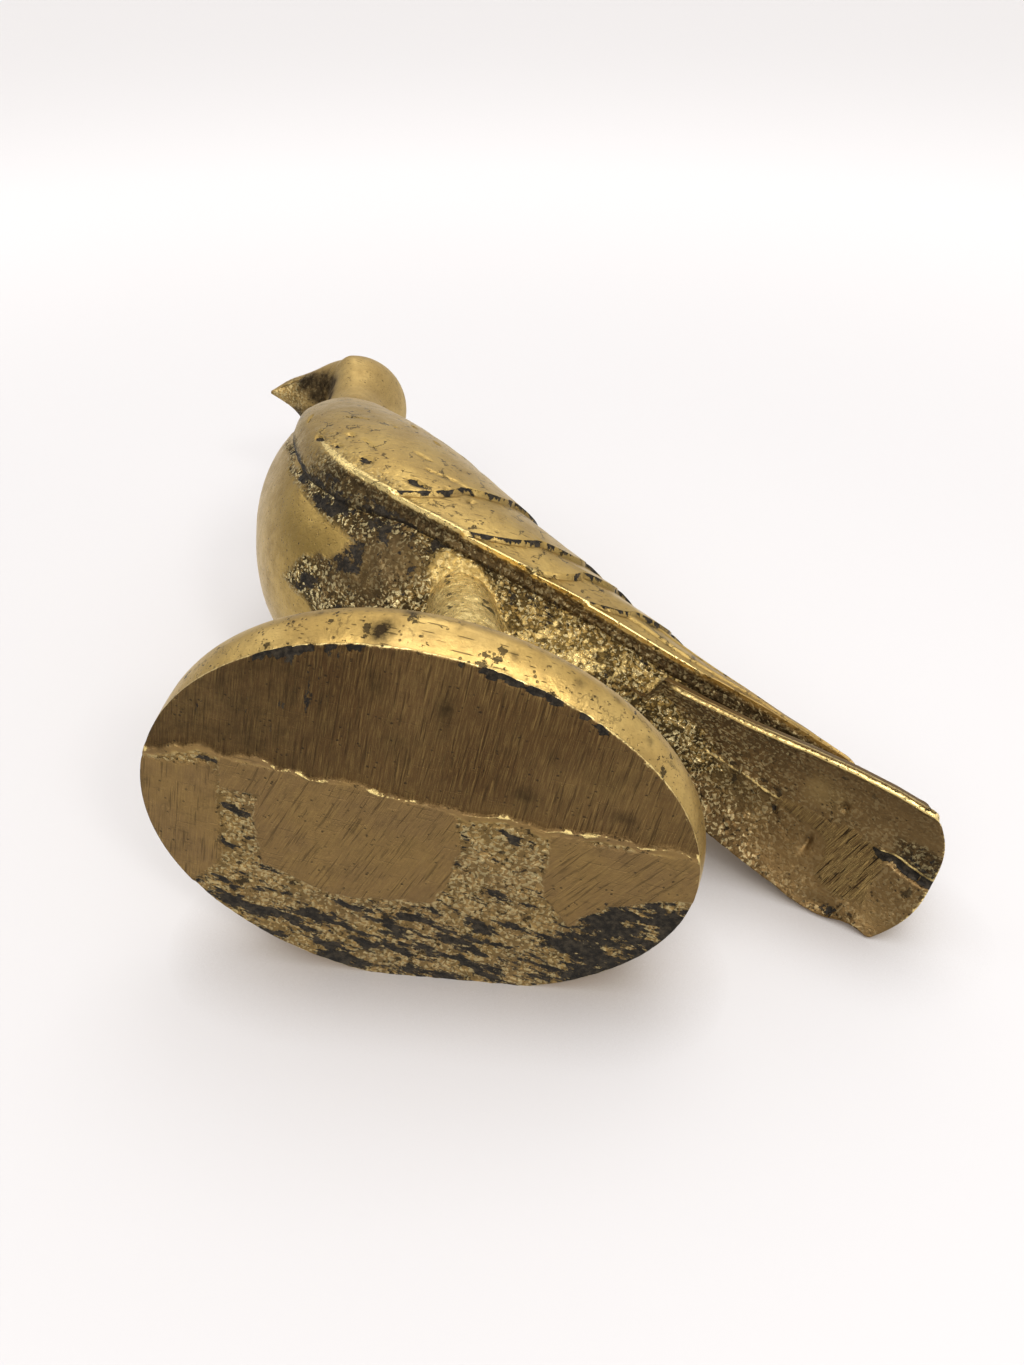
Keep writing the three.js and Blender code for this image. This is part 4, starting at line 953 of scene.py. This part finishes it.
tree = paper.node_tree
tree.nodes.remove(tree.nodes["Principled BSDF"])
from_bird = node(tree, "ShaderNodeVectorMath", {0: node(tree, "ShaderNodeTexCoord").outputs["Object"]},
                 operation="LENGTH").outputs["Value"]
# A faint glow of the sheet's own, stronger away from the figurine: painted light that whitens the far table.
far_glow = maths(tree, "ADD", 0.01, maths(tree, "MULTIPLY", between(tree, from_bird, 0.18, 0.6), 0.2))
# Painted contact shadow: the sheet's colour darkens where little of the sky is open, close to the figurine.
painted_shadow_openness = node(tree, "ShaderNodeAmbientOcclusion", {"Distance": 0.014}, samples=4).outputs["AO"]
paper_with_painted_shadow = blend(tree, between(tree, painted_shadow_openness, 0.4, 1.0), (0.34, 0.30, 0.27, 1), (0.668, 0.652, 0.66, 1))
paper_white = node(tree, "ShaderNodeBsdfDiffuse", {"Color": paper_with_painted_shadow}).outputs[0]
paper_glow = node(tree, "ShaderNodeEmission", {"Color": (0.97, 0.935, 0.93, 1),
                                               "Strength": far_glow}).outputs[0]
sheet = node(tree, "ShaderNodeAddShader", {0: paper_white, 1: paper_glow}).outputs[0]
clear = node(tree, "ShaderNodeBsdfTransparent").outputs[0]
behind_sheet = node(tree, "ShaderNodeNewGeometry").outputs["Backfacing"]
tree.links.new(node(tree, "ShaderNodeMixShader", {0: behind_sheet, 1: sheet, 2: clear}).outputs[0],
               tree.nodes["Material Output"].inputs["Surface"])
table_mesh.materials.append(paper)
table.visible_diffuse = table.visible_glossy = table.visible_transmission = table.visible_shadow = False

# Light: a soft even room, brighter overhead, with the pale table's own light from below, three
# bright windows behind the camera and a faint one on the far side, and six small lamps all round.
world = bpy.data.worlds.new("soft_room")
bpy.context.scene.world = world
world.use_nodes = True
tree = world.node_tree
way = node(tree, "ShaderNodeTexCoord").outputs["Generated"]


def towards(direction, low, high):
    """How far a direction in the room lies towards the given one, as 0 to 1."""
    facing = node(tree, "ShaderNodeVectorMath", {0: way, 1: Vector(direction).normalized()},
                  operation="DOT_PRODUCT").outputs["Value"]
    return between(tree, facing, low, high)


overhead = maths(tree, "MULTIPLY", towards((0.0, 0.95, 0.3), 0.2, 1.0), 0.62)
from_table = maths(tree, "MULTIPLY", towards(TABLE_UP, -1.0, -0.7),
                   maths(tree, "SUBTRACT", 0.6, towards(TABLE_UP, -0.1, 0.15)), True)
window = maths(tree, "MULTIPLY", towards((-0.35, 0.7, -0.6), 0.93, 0.985), 1.2)
near_window = maths(tree, "MULTIPLY", towards((0.12, 0.72, -0.68), 0.82, 0.97), 1.25)
lip_window = maths(tree, "MULTIPLY", towards((0.42, 0.52, -0.74), 0.93, 0.985), 2.2)
far_side = maths(tree, "MULTIPLY", towards((0.2, 0.3, 0.93), 0.3, 0.95), 0.15)
level = maths(tree, "ADD", 0.28, overhead)
for part in (from_table, window, near_window, lip_window, far_side):
    level = maths(tree, "ADD", level, part)
camera_ray = node(tree, "ShaderNodeLightPath").outputs["Is Camera Ray"]
room = node(tree, "ShaderNodeBackground", {"Color": (1.0, 0.985, 0.96, 1), "Strength": level}).outputs[0]
backdrop = node(tree, "ShaderNodeBackground", {"Color": (0.985, 0.952, 0.943, 1), "Strength": 1.0}).outputs[0]
tree.links.new(node(tree, "ShaderNodeMixShader", {0: camera_ray, 1: room, 2: backdrop}).outputs[0],
               tree.nodes["World Output"].inputs["Surface"])
for name, place, size, energy in (
    ("lamp_key", (-0.25, 0.50, -0.43), 0.10, 0.9),
    ("lamp_over", (0.08, 0.70, 0.25), 0.40, 1.1),
    ("lamp_left", (0.55, 0.30, 0.15), 0.30, 0.34),
    ("lamp_tail", (-0.60, 0.30, 0.10), 0.30, 0.34),
    ("lamp_right", (0.05, -0.55, 0.30), 0.35, 0.5),
    ("lamp_low", (0.06, 0.50, -0.46), 0.16, 0.8),
):
    lamp = bpy.data.lights.new(name, "AREA")
    lamp.size = size
    lamp.energy = energy
    stand = bpy.data.objects.new(name, lamp)
    stand.location = place
    stand.rotation_euler = (Vector((0, 0, 0.06)) - Vector(place)).to_track_quat("-Z", "Y").to_euler()
    bpy.context.scene.collection.objects.link(stand)

# Camera: close over the table, in front of the plinth's underside. Its lens and place come from the
# photograph's own perspective.
camera = bpy.data.cameras.new("camera")
camera.lens = 27.956
camera.sensor_width = 36.0
camera.clip_start = 0.01
eye = bpy.data.objects.new("camera", camera)
eye.matrix_world = Matrix((
    (-0.97000864, 0.24112067, 0.03072565, -0.002631),
    (0.21681819, 0.80116380, 0.55778709, 0.093364),
    (0.10987771, 0.54772017, -0.82941515, -0.099390),
    (0, 0, 0, 1),
))
bpy.context.scene.collection.objects.link(eye)
bpy.context.scene.camera = eye
bpy.context.scene.view_settings.view_transform = "Standard"
